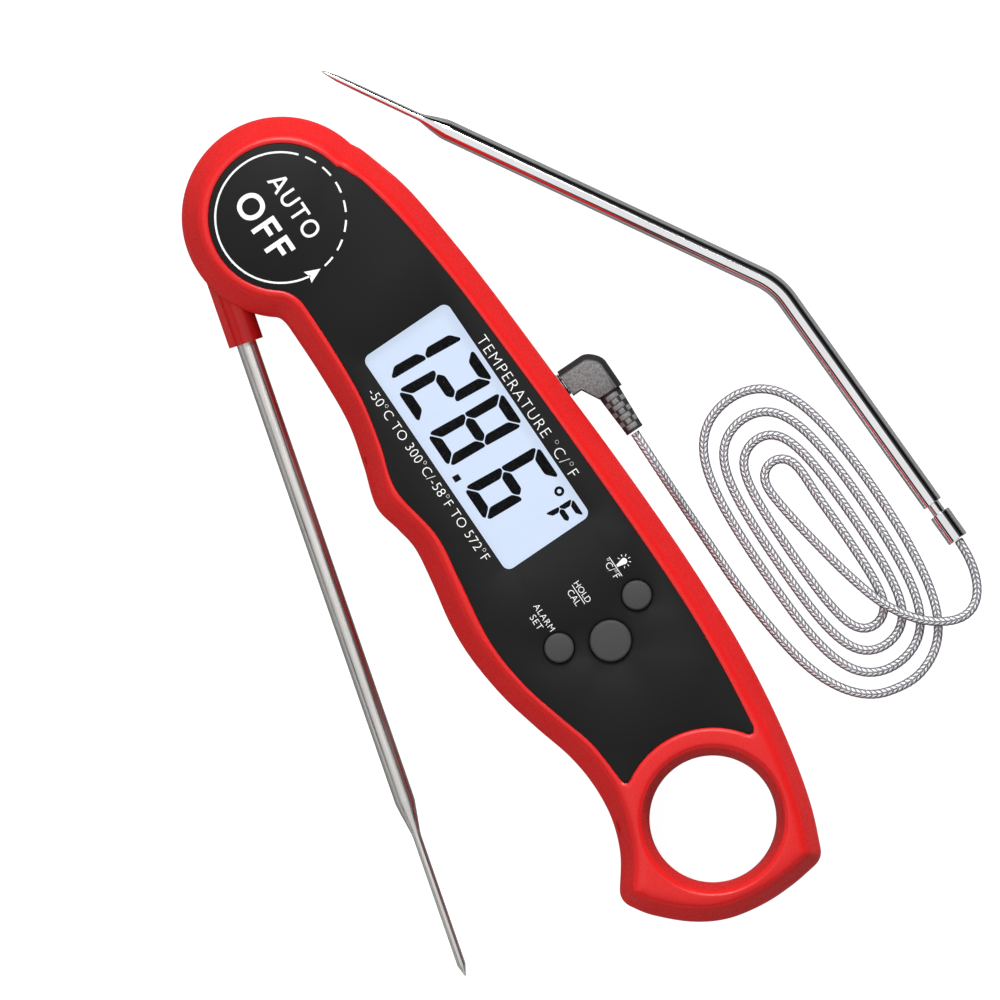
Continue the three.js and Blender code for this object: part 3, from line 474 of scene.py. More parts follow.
def distance_along(line):
    return np.concatenate([[0], np.cumsum(np.linalg.norm(np.diff(line, axis=0), axis=1))])


def even(points, spacing, closed=False):
    """The line again, with its points about that far apart."""
    line = np.vstack([points, points[:1]]) if closed else points
    along = distance_along(line)
    count = max(3, round(along[-1] / spacing))
    at = np.linspace(0, along[-1], count + 1)
    if closed:
        at = at[:-1]
    return np.stack([np.interp(at, along, line[:, k]) for k in range(line.shape[1])], axis=1)


def case_outline():
    start = math.radians(12.6)
    shape = Outline(HEAD_RADIUS * math.cos(start), HEAD_RADIUS * math.sin(start))
    shape.arc((0, 0), HEAD_RADIUS, start, math.radians(233))
    shape.corner((-9.7, -14.9), (-9.8, -17.5))
    shape.spline(
        (-9.9, -26), (-10.6, -36), (-12.6, -43.8), (-14.8, -51), (-13.9, -56.5), (-13.3, -61),
        (-14.2, -67.5), (-15.6, -75), (-16, -82), (-15.2, -90.5), (-13.4, -98.5), (-11.4, -106),
        (-10.75, -112.5), (-11.4, -119), (-13.6, -125), (-17.0, -129.9),
    )
    shape.corner((-18.5, -131.7), (-17.2, -133.8))
    shape.spline((-15, -137), (-10, -141.8), (-4.5, -144.9), (2, -146.3), (8, -146.4), (13.2, -145.8))
    shape.corner((15.2, -145.5), (15.9, -143.7))
    shape.spline(
        (18.4, -137.5), (20.5, -130), (22.4, -120.5), (23.8, -110), (24.6, -99), (24.9, -85), (24.6, -67),
        (23.9, -50), (23.1, -31), (22.2, -19), (20.9, -8), (18.9, -0.6), (18.0, 2.2),
    )
    return shape


def panel_outline():
    radius, arc = 12.75, 16.1
    start = math.radians(8)
    left = math.atan2(-115.1 - RING_CENTRE[1], -5.1 - RING_CENTRE[0])
    right = math.atan2(-120.0 - RING_CENTRE[1], 16.3 - RING_CENTRE[0])
    shape = Outline(radius * math.cos(start), radius * math.sin(start))
    shape.arc((0, 0), radius, start, math.radians(234))
    shape.corner((-5.4, -12.2), (-5.3, -15.2))
    shape.spline(
        (-5.45, -24), (-6.2, -34), (-8, -42.5), (-10.2, -50.7), (-8.8, -61), (-9.9, -70), (-11.5, -81.5),
        (-10.8, -91), (-8.7, -99.5), (-6.8, -106.5), (-6.2, -114.6),
    )
    end = (RING_CENTRE[0] + arc * math.cos(left), RING_CENTRE[1] + arc * math.sin(left))
    shape.corner((-6.0, -115.8), end)
    shape.arc(RING_CENTRE, arc, left, right)
    shape.corner((17.3, -121.2), (17.9, -119.6))
    shape.spline(
        (19.1, -110), (20.0, -98), (20.2, -84), (19.8, -60), (19.2, -42), (18.4, -26), (17.0, -13),
        (15.2, -3.4), (14.1, -0.6), (13.2, 1.5),
    )
    return shape


def cavity_outline():
    shape = Outline(-4.6, -19.4).straight(
        (-4.8, -32), (-8.6, -50), (-7.7, -61), (-9.3, -80), (-8.8, -88), (-5.0, -104.5), (-4.6, -111.0),
        (3.4, -111.3), (11.0, -112.6), (16.2, -116.2), (17.8, -113.6), (19.6, -100), (20.0, -84),
        (19.4, -57), (18.3, -33), (16.8, -19), (14.6, -11.2),
    )
    shape.arc((0, 0), 18.4, math.atan2(-11.2, 14.6), math.atan2(-17.8, -4.6))
    return np.array(shape.points)


def circle(x, y, radius, count=96):
    angles = np.arange(count) / count * math.tau
    return np.stack([x + radius * np.cos(angles), y + radius * np.sin(angles)], axis=1)


def rounded_box(x0, x1, y0, y1, corner, steps=8):
    left, right, front, back = x0 + corner, x1 - corner, y0 + corner, y1 - corner
    centres = [(right, back), (left, back), (left, front), (right, front)]
    points = []
    for k, (x, y) in enumerate(centres):
        for angle in np.linspace(k * math.pi / 2, (k + 1) * math.pi / 2, steps + 1):
            points.append((x + corner * math.cos(angle), y + corner * math.sin(angle)))
    return np.array(points)


def display_outline(margin):
    x0, x1, y0, y1 = DISPLAY
    return rounded_box(x0 - margin, x1 + margin, y0 - margin, y1 + margin, DISPLAY_CORNER + margin)


def moved_in(loop, distance):
    """An anticlockwise loop moved inwards, or outwards where the distance is negative."""
    along = np.roll(loop, -1, axis=0) - np.roll(loop, 1, axis=0)
    along /= np.linalg.norm(along, axis=1)[:, None]
    return loop + distance * np.stack([-along[:, 1], along[:, 0]], axis=1)


def distance_to(places):
    """A function that gives each point's distance to the nearest of the places."""
    tree = KDTree(len(places))
    for i, (x, y) in enumerate(places):
        tree.insert((x, y, 0), i)
    tree.balance()
    return lambda points: np.array([tree.find((x, y, 0))[2] for x, y in points])


# ---------------------------------------------------------------- meshes
WELD = 0.0005


def mesh_of(name, points, faces, welded=True):
    """A mesh from points in millimetres."""
    mesh = bpy.data.meshes.new(name)
    mesh.from_pydata([tuple(float(c) * MM for c in p) for p in points], [], faces)
    if welded:
        work = bmesh.new()
        work.from_mesh(mesh)
        bmesh.ops.remove_doubles(work, verts=work.verts, dist=WELD * MM)
        bmesh.ops.recalc_face_normals(work, faces=work.faces)
        work.to_mesh(mesh)
        work.free()
    return mesh


def finish_piece(name, mesh, look, body, angle, slot, *replaced):
    """A piece on a body, smooth up to an angle in degrees, which stands for the replaced CAD nodes."""
    mesh.materials.clear()
    mesh.materials.append(LOOKS[look])
    mesh.shade_smooth()
    mesh.set_sharp_from_angle(angle=math.radians(angle))
    piece = placed(name, mesh)
    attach(piece, body)
    if replaced:
        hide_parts(*replaced)
    return piece


def ring_faces(rings, sides, first=0):
    """Faces between rings of points, which are numbered ring after ring from first."""
    faces = []
    for start in range(first, first + (rings - 1) * sides, sides):
        for i in range(sides):
            a, b = start + i, start + (i + 1) % sides
            faces.append((a, b, b + sides, a + sides))
    return faces


def inside(points, loop):
    """Which of the points lie inside a closed loop."""
    x, y = points[:, 0][:, None], points[:, 1][:, None]
    x0, y0 = loop[:, 0][None], loop[:, 1][None]
    x1, y1 = np.roll(loop[:, 0], -1)[None], np.roll(loop[:, 1], -1)[None]
    crosses = (y0 > y) != (y1 > y)
    with np.errstate(divide="ignore", invalid="ignore"):
        at = (x1 - x0) * (y - y0) / (y1 - y0) + x0
    return (crosses & (x < at)).sum(axis=1) % 2 == 1


def fill(loops, extra=()):
    """Triangles over the inside of the first loop and outside the others, as points and faces."""
    points, edges = [], []
    for loop in loops:
        first = len(points)
        points += [Vector((float(x), float(y))) for x, y in loop]
        count = len(loop)
        edges += [(first + i, first + (i + 1) % count) for i in range(count)]
    points += [Vector((float(x), float(y))) for x, y in extra]
    out = delaunay_2d_cdt(points, edges, [], 0, 1e-7)
    xy = np.array([tuple(v) for v in out[0]])
    faces = np.array([f for f in out[2] if len(f) == 3])
    middles = xy[faces].mean(axis=1)
    keep = inside(middles, loops[0])
    for loop in loops[1:]:
        keep &= ~inside(middles, loop)
    return xy, faces[keep]


class Solid:
    """Points and faces that are gathered into one closed surface."""

    def __init__(self):
        self.vertices, self.faces = [], []

    def sheet(self, xy, faces, z):
        first = len(self.vertices)
        height = np.broadcast_to(z, len(xy))
        self.vertices += [(x, y, h) for (x, y), h in zip(xy, height)]
        self.faces += [tuple(int(i) + first for i in f) for f in faces]
        return self

    def wall(self, levels):
        """A wall through loops with as many points each: [(loop, z), ...], z one number or one a point."""
        count = len(levels[0][0])
        first = len(self.vertices)
        for loop, z in levels:
            height = np.broadcast_to(z, count)
            self.vertices += [(x, y, h) for (x, y), h in zip(loop, height)]
        self.faces += ring_faces(len(levels), count, first)
        return self

    def plate(self, loops, z0, z1):
        """A flat plate over the first loop, with the others as holes."""
        xy, faces = fill(loops)
        self.sheet(xy, faces, z0).sheet(xy, faces, z1)
        for loop in loops:
            self.wall([(loop, z0), (loop, z1)])
        return self

    def mesh(self):
        return mesh_of("solid", self.vertices, self.faces)


def prism(loops, z0, z1):
    return Solid().plate(loops, z0, z1).mesh()


def disc(x, y, radius, z0, z1, count=64):
    return prism([circle(x, y, radius, count)], z0, z1)


def discs(places, radius, z0, z1, count=64):
    return [disc(x, y, radius, z0, z1, count) for x, y in places]


def block(x0, x1, y0, y1, z0, z1):
    return prism([np.array([(x0, y0), (x1, y0), (x1, y1), (x0, y1)], float)], z0, z1)


def turned(profile, place=(0, 0, 0), axis=(0, 0, 1), sides=64):
    """A turned solid. Its profile of (radius, distance along the axis) runs from axis to axis, or closes."""
    turn = Vector((0, 0, 1)).rotation_difference(Vector(axis)).to_matrix()
    vertices = []
    for r, d in profile:
        for angle in [i / sides * math.tau for i in range(sides)]:
            vertices.append(turn @ Vector((r * math.cos(angle), r * math.sin(angle), d)) + Vector(place))
    return mesh_of("turned", vertices, ring_faces(len(profile), sides))


def baked(*objects):
    """The first object's mesh with its modifiers applied. The objects are removed."""
    bpy.context.view_layer.update()
    made = bpy.data.meshes.new_from_object(objects[0].evaluated_get(bpy.context.evaluated_depsgraph_get()))
    for used in objects:
        bpy.data.objects.remove(used)
    return made


def combined(mesh, others, operation):
    """The mesh joined with, or cut by, other closed meshes."""
    base = placed("base", mesh)
    tools = [placed("tool", other) for other in others]
    for tool in tools:
        step = base.modifiers.new("step", "BOOLEAN")
        step.operation = operation
        step.solver = "MANIFOLD"
        step.object = tool
    return baked(base, *tools)


def cut(mesh, *others):
    return combined(mesh, others, "DIFFERENCE")


def join(mesh, *others):
    return combined(mesh, others, "UNION")


def bevelled(mesh, width, segments=3, angle=40.0):
    """The mesh with its sharp edges rounded."""
    base = placed("base", mesh)
    step = base.modifiers.new("step", "BEVEL")
    step.width = width * MM
    step.segments = segments
    step.limit_method = "ANGLE"
    step.angle_limit = math.radians(angle)
    step.use_clamp_overlap = True
    return baked(base)


def merged(name, meshes):
    """Several meshes as one, without joining their surfaces."""
    whole = bmesh.new()
    for mesh in meshes:
        whole.from_mesh(mesh)
    made = bpy.data.meshes.new(name)
    whole.to_mesh(made)
    whole.free()
    return made


def moved(mesh, matrix):
    mesh.transform(matrix)
    return mesh


# ---------------------------------------------------------------- the cord and what is on it
CORD_RADIUS = 0.75
CORD_Z = 0.81
CORD_SIDES = 24
BRAID_PROUD = 0.06
BRAID_DEPTH = 0.11


def lying(*points):
    """Points of the cord's centreline where it lies on the floor."""
    return [(x, y, CORD_Z) for x, y in points]


LEAD_ROUTE = [
    (29.75, -65.7, 8.7), (29.7, -69.0, 8.6), (29.65, -72.5, 8.0), (29.6, -76.5, 6.4), (29.6, -80.5, 4.3),
    (29.6, -84.5, 2.5), (29.6, -88.5, 1.3), (29.6, -92.5, 0.85),
    *lying((29.6, -96.7), (29.9, -103.0), (30.6, -110.0), (31.7, -116.0)),
    *lying((33.5, -121.0), (36.2, -125.0), (39.7, -127.6)),
]
# The innermost turn's round tip, the run inside the coil, the hump over it and the rise to the ferrule.
TAIL_ROUTE = [
    *lying((50.05, -89.6), (50.0, -86.4), (49.56, -84.78), (48.38, -83.59), (46.75, -83.15)),
    *lying((45.12, -83.59), (43.94, -84.78), (43.5, -86.4), (43.6, -88.8), (44.0, -92.4)),
    *lying((44.6, -96.4), (45.3, -100.4)),
    (46.15, -105.0, 0.95), (47.0, -108.7, 1.5), (47.7, -111.4, 2.15), (48.8, -114.6, 2.42),
    (50.6, -118.0, 2.44), (52.9, -121.0, 2.44), (55.6, -123.2, 2.4), (58.4, -124.5, 1.95),
    (60.9, -124.5, 1.2), (62.9, -123.3, 0.85), (64.4, -121.2, 0.85), (65.4, -118.6, 1.1),
    (65.9, -115.8, 1.6), (66.0, -113.0, 1.9),
]
# Where each side of the coil's outermost turn lies, and how far that side moves in with every turn.
COIL_RIGHT = (58.85, -2.92)
COIL_LEFT = (34.85, 2.88)
COIL_BOTTOM = (-128.75, 3.85)
COIL_TOP = (-70.1, -4.22)
COIL_TURNS = 3.28
COIL_POINTS = 100
CORD_STEP = 0.2
EASING = 3.6


def coil_point(turn):
    """A point of the coil: turn 0 is the outermost turn's bottom, and it winds inwards anticlockwise.

    The innermost turn's left side comes in faster, and the outer turns' bottoms lean to the left."""
    right = COIL_RIGHT[0] + COIL_RIGHT[1] * (turn - 0.25)
    left = COIL_LEFT[0] + COIL_LEFT[1] * (turn - 0.75) + 0.8 * max(0, turn - 2.75) ** 2
    bottom = COIL_BOTTOM[0] + COIL_BOTTOM[1] * turn
    top = COIL_TOP[0] + COIL_TOP[1] * (turn - 0.5)
    angle = (turn - 0.25) * math.tau
    half_width, half_height = (right - left) / 2, (top - bottom) / 2
    rise = math.asin(math.sin(angle)) / (math.pi / 2)
    straight = math.copysign(1 - (1 - abs(rise)) ** 4, rise)
    x = (right + left) / 2 + half_width * math.cos(angle)
    y = (top + bottom) / 2 + half_width * math.sin(angle) + (half_height - half_width) * straight
    x -= 0.8 * max(0, 1 - turn / 3) * max(0, (-100 - y) / 28)
    return (x, y, CORD_Z)


def cord_line():
    """The cord's centreline, evenly spaced and eased so that no bend is sharp."""
    turns = [coil_point(t) for t in np.linspace(0.0, COIL_TURNS, COIL_POINTS)]
    route = even(catmull([*LEAD_ROUTE, *turns, *TAIL_ROUTE], 24), CORD_STEP)
    reach = round(EASING / CORD_STEP)
    steps = np.arange(reach, 0, -1)[:, None]
    before = route[0] + (route[0] - route[1]) * steps
    after = route[-1] + (route[-1] - route[-2]) * steps[::-1]
    kernel = np.hanning(2 * reach + 1)
    padded = np.vstack([before, route, after])
    eased = [np.convolve(padded[:, k], kernel / kernel.sum(), "valid") for k in range(3)]
    return even(np.stack(eased, axis=1), CORD_STEP)


def tube(line, radius, sides, relief=None):
    """A closed tube along a line in space, without twist. relief(angle, along) adds to its radius."""
    tangent = np.gradient(line, axis=0)
    tangent /= np.linalg.norm(tangent, axis=1)[:, None]
    side = np.cross(tangent, (0, 0, 1))
    side /= np.linalg.norm(side, axis=1)[:, None]
    lift = np.cross(side, tangent)
    angles = np.arange(sides) / sides * math.tau
    a, s = np.meshgrid(angles, distance_along(line))
    height = relief(a, s) if relief else np.zeros_like(a)
    reach = (np.broadcast_to(radius, len(line))[:, None] + height)[..., None]
    out = np.cos(a)[..., None] * side[:, None] + np.sin(a)[..., None] * lift[:, None]
    points = line[:, None] + reach * out
    faces = ring_faces(len(line), sides)
    faces += [tuple(range(sides))[::-1], tuple((len(line) - 1) * sides + i for i in range(sides))]
    return mesh_of("tube", points.reshape(-1, 3), faces, welded=False)


def braid(angle, along):
    """The braid's relief in millimetres, below its highest strands: the same herringbone as its material."""
    column = np.abs((angle / math.tau * BRAID_COLUMNS + 0.5 + 1) % 2 - 1)
    strand = np.abs((along / BRAID_PITCH + column) % 1 - 0.5)
    gap = np.maximum(strand, np.abs(column - 0.5) * 0.97)
    return -BRAID_DEPTH * np.clip((gap - 0.25) / 0.2, 0, 1)


def make_cord():
    line = cord_line()
    mesh = tube(line, CORD_RADIUS + BRAID_PROUD, CORD_SIDES, braid)
    spacing = np.linalg.norm(np.diff(line, axis=0), axis=1).mean() / BRAID_PITCH
    uv = []
    for v0, v1 in [(k * spacing, (k + 1) * spacing) for k in range(len(line) - 1)]:
        for i in range(CORD_SIDES):
            u0, u1 = (j / CORD_SIDES * BRAID_COLUMNS + 0.5 for j in (i, i + 1))
            uv += [u0, v0, u1, v0, u1, v1, u0, v1]
    uv += [0.5, 0.25] * (2 * CORD_SIDES)
    mesh.uv_layers.new(name="braid").data.foreach_set("uv", uv)
    stands_for = ("cord_lead", "cord_coil", "cord_tail")
    cord = finish_piece("braided_cord", mesh, "braid", "wired_probe", 60, "braid", *stands_for)
    return cord, line


PLUG_X = 24.5
PLUG_FLANK = 0.7
PLUG_CROWN = 1.8
COLLAR_X = PLUG_X - 0.47
BOOT_START = (30.0, -57.6, HUB_MID_Z)
BOOT_ROWS = 7
BOOT_PITCH = 1.03
BOOT_RADIUS = 2.11
BOOT_TAPER = 0.056
BOOT_RIB = 0.35


def plug_outlines():
    """The plug's outline at its sides, and the smaller one of its flat faces, with matching points."""
    side = Outline(PLUG_X, -54.4).straight((26.2, -54.4), (27.9, -57.5), (32.6, -57.5), (32.6, -52.5))
    side.corner((32.5, -51.4), (31.5, -50.4)).corner((30.5, -49.35), (29.4, -49.3))
    side.straight((PLUG_X, -49.3))
    face = Outline(PLUG_X, -54.15).straight((26.35, -54.15), (28.0, -57.25), (31.05, -57.25), (31.05, -53.3))
    face.corner((30.95, -52.6), (30.3, -51.9)).corner((29.7, -51.05), (28.9, -50.95))
    face.straight((PLUG_X, -50.95))
    return np.array(side.points), np.array(face.points)


def make_plug():
    """The right-angled plug: a moulded elbow with crowned edges, its collar and its ribbed strain relief."""
    side, face = plug_outlines()
    solid = Solid()
    levels = []
    quarter = np.radians(np.linspace(0, 90, 13))
    for way, angles in ((-1, quarter[::-1]), (1, quarter)):
        solid.sheet(*fill([face]), HUB_MID_Z + way * (PLUG_FLANK + PLUG_CROWN))
        for angle in angles:
            height = HUB_MID_Z + way * (PLUG_FLANK + PLUG_CROWN * math.sin(angle))
            levels.append((side + (face - side) * (1 - math.cos(angle)), height))
    solid.wall(levels)
    body = finish_piece("plug_elbow", solid.mesh(), "plug", "wired_probe", 50, "soft_black", "plug_body")

    def by_jack(profile):
        return turned(profile, (COLLAR_X, JACK_Y, HUB_MID_Z), (1, 0, 0))

    collar = by_jack([(0, 0), (1.9, 0), (2.1, 0.06), (2.1, 0.15), (1.9, 0.19), (1.9, 0.5), (0, 0.5)])
    collar = finish_piece("plug_collar", collar, "rubber", "wired_probe", 30, "soft_black")
    profile = [(1.8, 0.24), (2.08, 0.24), (2.12, 0.28), (2.12, 0.36), (2.08, 0.4), (1.8, 0.4), (1.8, 0.24)]
    band = by_jack(profile)
    band = finish_piece("plug_collar_band", band, "bright", "wired_probe", 30, "bright_steel")
    profile = [
        (0, -0.3), (2.02, -0.3), (2.04, 0.0), (1.64, 7.3), (1.66, 7.4), (1.66, 7.7), (1.56, 7.8), (0, 7.8),
    ]
    core = turned(profile, BOOT_START, (0, -1, 0))
    core = finish_piece("plug_boot_core", core, "rubber", "wired_probe", 40, "soft_black", "plug_boot")
    blocks = []
    for row in range(BOOT_ROWS):
        outer = BOOT_RADIUS - BOOT_TAPER * row
        angles, half = ((0, 180), 34) if row % 2 == 0 else ((0, 50, 130, 180, 230, 310), 16)
        blocks += boot_blocks(0.2 + BOOT_PITCH * row, 0.9, outer - BOOT_RIB, outer, angles, half)
    ribs = bevelled(merged("plug_boot_ribs", blocks), 0.06, 2)
    ribs = finish_piece("plug_boot_ribs", ribs, "ribs", "wired_probe", 40, "soft_black")
    return [body, core, ribs, collar, band]


def boot_blocks(start, length, inner, outer, turns, half):
    """Blocks round the boot, one row of its staggered ribs. Turn 0 faces up."""
    made = []
    for middle in turns:
        angles = np.radians(middle + 90 + np.linspace(-half, half, 13))
        loop = [(outer * math.cos(a), outer * math.sin(a)) for a in angles]
        loop += [(inner * math.cos(a), inner * math.sin(a)) for a in angles[::-1]]
        mesh = prism([np.array(loop)], 0, length)
        place = Vector(BOOT_START) - Vector((0, start, 0))
        made.append(moved(mesh, Matrix.Translation(place * MM) @ Matrix.Rotation(math.pi / 2, 4, "X")))
    return made


# ---------------------------------------------------------------- the wired probe
WIRED_RADIUS = 1.8
WIRED_Z = 1.9
WIRED_ROOT = np.array((65.85, -105.2))
WIRED_ELBOW = np.array((64.8, -58.3))
WIRED_TIP = np.array((20.0, 17.3))
WIRED_BEND = 12.7
# The shaft's radius over its distance from the tip.
WIRED_TAPER = [
    (0, 0.06), (0.4, 0.2), (3, 0.56), (8, 0.64), (18.6, 0.66), (19.4, 0.74), (21.5, 1.3), (23.6, 1.74),
    (24.4, WIRED_RADIUS), (999, WIRED_RADIUS),
]


def wired_line():
    """The bent shaft's centreline, root to tip, with a round bend."""
    down = (WIRED_ROOT - WIRED_ELBOW) / np.linalg.norm(WIRED_ROOT - WIRED_ELBOW)
    up = (WIRED_TIP - WIRED_ELBOW) / np.linalg.norm(WIRED_TIP - WIRED_ELBOW)
    turn = math.pi - math.acos(float(down @ up))
    tangent = WIRED_BEND * math.tan(turn / 2)
    start, end = WIRED_ELBOW + down * tangent, WIRED_ELBOW + up * tangent
    bend = rounded(start, WIRED_ELBOW, end, 24)
    flat = even(np.vstack([WIRED_ROOT, *bend, WIRED_TIP]), 0.5)
    return np.column_stack([flat, np.full(len(flat), WIRED_Z)])


def make_wired_probe():
    line = wired_line()
    along = distance_along(line)
    left = along[-1] - along
    radius = np.interp(left, *zip(*WIRED_TAPER))
    line = np.vstack([line[0], line[0] + (line[1] - line[0]) * 0.16, line[1:]])
    radius = np.concatenate([[WIRED_RADIUS - 0.1, WIRED_RADIUS], radius[1:]])
    mesh = tube(line, radius, 40)
    finish_piece("wired_shaft", mesh, "bright", "wired_probe", 40, "bright_steel", "wired_probe_shaft")
    root = (WIRED_ROOT[0], WIRED_ROOT[1], WIRED_Z)
    away = WIRED_ROOT - WIRED_ELBOW
    profile = [
        (0, -0.3), (1.15, -0.3), (1.15, 2.02), (1.3, 2.06), (1.78, 2.06), (1.88, 2.14), (1.88, 7.5),
        (1.8, 7.62), (0.95, 7.62), (0.85, 7.4), (0.85, 7.0), (0, 7.0),
    ]
    mesh = turned(profile, root, (away[0], away[1], 0), 48)
    return finish_piece("crimped_ferrule", mesh, "bright", "wired_probe", 30, "bright_steel", "crimp_ferrule")


cord, cord_path = make_cord()
plug_pieces = make_plug()
ferrule = make_wired_probe()

# ---------------------------------------------------------------- the case
OUTLINE = case_outline().closed(0.6)
PANEL = panel_outline().closed(0.6)
PANEL_SEAT = moved_in(PANEL, -0.15)
RING_COUNT = 168


def smoothed(table, reach=0.35, step=0.02):
    """A height curve through a few points with its corners rounded: the distances and the heights."""
    at = np.arange(-2, 9, step)
    height = np.interp(at, *zip(*table))
    half = int(reach / step)
    kernel = np.hanning(2 * half + 1)
    return at, np.convolve(np.pad(height, half, "edge"), kernel / kernel.sum(), "valid")


# The rim's height over its distance from the outline: the bevel, its rounded crest and the level top.
CREST = [
    (-2, 8.0), (0.0, BEVEL_FOOT_Z), (0.3, 13.2), (2.3, 16.25), (2.8, 16.98), (3.2, 17.37), (3.7, 17.6),
    (4.3, 17.79), (5.0, 17.93), (6, CREST_Z), (9, CREST_Z),
]
BEVEL = smoothed(CREST, 0.3)


def step_between(values, start, end):
    """A smooth step from 0 at start to 1 at end."""
    t = np.clip((values - start) / (end - start), 0, 1)
    return t * t * (3 - 2 * t)


def loops_inside(loop, offsets, near):
    """Points along a loop moved in by each offset, without those that came too close to it elsewhere."""
    out = []
    for offset in offsets:
        points = moved_in(loop, offset)
        out.append(points[near(points) > offset - 0.03])
    return np.vstack(out)


near_outline = distance_to(even(OUTLINE, 0.08, True))
near_panel = distance_to(even(PANEL_SEAT, 0.08, True))


RING_NARROWING = 0.22
RING_STARTS_Y = (-112, -124)
ROLL_DEPTH = 0.26
ROLL_WIDTH = 0.7


def front_height(xy):
    """The rim's height: its bevel, narrower by the ring, with its edges rolled down to the openings."""
    narrow = 1 - RING_NARROWING * step_between(xy[:, 1], *RING_STARTS_Y)
    height = np.interp(near_outline(xy) / narrow, *BEVEL)
    from_ring = np.abs(np.hypot(*(xy - RING_CENTRE).T) - RING_MOUTH)
    edge = np.minimum(near_panel(xy), from_ring)
    return height - ROLL_DEPTH * (1 - np.clip(edge / ROLL_WIDTH, 0, 1)) ** 2


def ring_at(radius):
    return circle(*RING_CENTRE, radius, RING_COUNT)


def rim():
    """The front's red rim between the outline, the panel's seat and the hanging hole."""
    ring = ring_at(RING_MOUTH)
    steps = [0.12, 0.3, 0.5, 0.8, 1.2, 1.6, 2.0, 2.4, 2.8, 3.1, 3.4, 3.7, 4.0, 4.4, 4.8, 5.6, 6.6, 8.0]
    inner = loops_inside(OUTLINE, steps, near_outline)
    near = (0.12, 0.3, 0.5, 0.75)
    by_panel = np.vstack([moved_in(PANEL_SEAT, -d) for d in near])
    by_ring = np.vstack([ring_at(RING_MOUTH + d) for d in (*near, 1.4)])
    taken = distance_to(np.vstack([by_panel, by_ring, PANEL_SEAT, ring]))
    inner = inner[taken(inner) > 0.3]
    borders = np.vstack([by_panel, by_ring])
    borders = borders[near_outline(borders) > 0.3]
    points = np.vstack([inner, borders])
    points = points[inside(points, OUTLINE)]
    xy, faces = fill([OUTLINE, PANEL_SEAT, ring], points)
    return ring, xy, faces


def ring_levels(*profile):
    """The levels of the hanging hole's wall, from its (height, radius) profile."""
    return [(ring_at(r), z) for z, r in profile]


def slot_tools():
    """The slot that the hub and its neck turn in, the probe's side channel and the jack's hole."""
    z0, z1 = HUB_Z[0] - GAP, HUB_Z[1] + GAP
    ring = prism([circle(0, 0, HUB_BORE, 160), circle(0, 0, POST_RADIUS, 80)], z0, z1)
    angles = np.radians(np.linspace(*NECK_SWEEP, 90))
    sector = [(34 * math.cos(a), 34 * math.sin(a)) for a in angles]
    sector += [(8 * math.cos(a), 8 * math.sin(a)) for a in angles[::-1]]
    return [
        ring,
        prism([np.array(sector)], z0, z1),
        block(-34, -9.45, -24, -5, z0, z1),
        block(-30, -11.05, -137.5, -14, 6.2, 11.2),
        turned([(0, 0), (3.3, 0), (3.3, 12), (0, 12)], (18, JACK_Y, PARTING_Z), (1, 0, 0), 48),
    ]


def bevel_mark(points, depth=0.35):
    """A tool that sinks a small triangular mark into the bevel, with its foot along the slope."""
    loop = np.array(points)
    xy, faces = fill([loop])
    solid = Solid().sheet(xy, faces, front_height(xy) - depth).sheet(xy, faces, 19.0)
    return solid.wall([(loop, front_height(loop) - depth), (loop, 19.0)]).mesh()


def make_front():
    """The front shell: the rim, the face's seat, the display's and keys' openings and the screw bosses."""
    ring, xy, faces = rim()
    solid = Solid().sheet(xy, faces, front_height(xy))
    bottom = PARTING_Z + HALF_GAP
    low = moved_in(OUTLINE, 0.25)
    solid.wall([(low, bottom), (OUTLINE, bottom + 0.3), (OUTLINE, 11.2), (OUTLINE, front_height(OUTLINE))])
    ring_wall = ring_levels(
        (17.45, 12.52), (16.4, 12.2), (15.0, 11.8), (13.2, 11.4), (11.0, 11.14), (bottom, RING_BORE)
    )
    solid.wall([(ring, front_height(ring)), *ring_wall])
    solid.sheet(*fill([low, ring_at(RING_BORE)]), bottom)
    solid.wall([(PANEL_SEAT, front_height(PANEL_SEAT)), (PANEL_SEAT, PANEL_SEAT_Z)])
    solid.sheet(*fill([PANEL_SEAT]), PANEL_SEAT_Z)
    tools = [prism([cavity_outline()], 7.5, DECK_Z), prism([display_outline(1.1)], *FACE_CUT), *slot_tools()]
    tools += [disc(x, y, r + GAP, *FACE_CUT) for x, y, r in BUTTONS.values()]
    tools += [bevel_mark(points) for points in BEVEL_MARKS]
    shell = cut(solid.mesh(), *tools)
    shell = join(shell, *discs(CASE_SCREWS, 2.3, 9.0, 15.5, 32))
    tools = discs(CASE_SCREWS, SCREW_HOLE, 7, 14, 24)
    tools += [disc(0, 0, 3.1, *FACE_CUT, 48), disc(0, 0, PIVOT_HOLE, 7, 17, 32)]
    shell = cut(shell, *tools)
    finish_piece("front_case", shell, "case", "handset", 28, "red_case", "front_shell")


def back_height(xy):
    """The back's rounded foot."""
    t = np.clip((near_outline(xy) - 0.05) / FOOT_Z, 0, 1)
    return FOOT_Z * (1 - np.sqrt(1 - (1 - t) ** 2))


def lug_blocks(reach, width, turn, z0, z1):
    """Three blocks round the battery: the cover's lugs, or the entries for them."""
    centre = Matrix.Translation((CELL_CENTRE[0] * MM, CELL_CENTRE[1] * MM, 0))
    made = []
    for angle in np.radians((turn, turn + 120, turn + 240)):
        lug = block(10.5, reach, -width / 2, width / 2, z0, z1)
        made.append(moved(lug, centre @ Matrix.Rotation(angle, 4, "Z")))
    return made


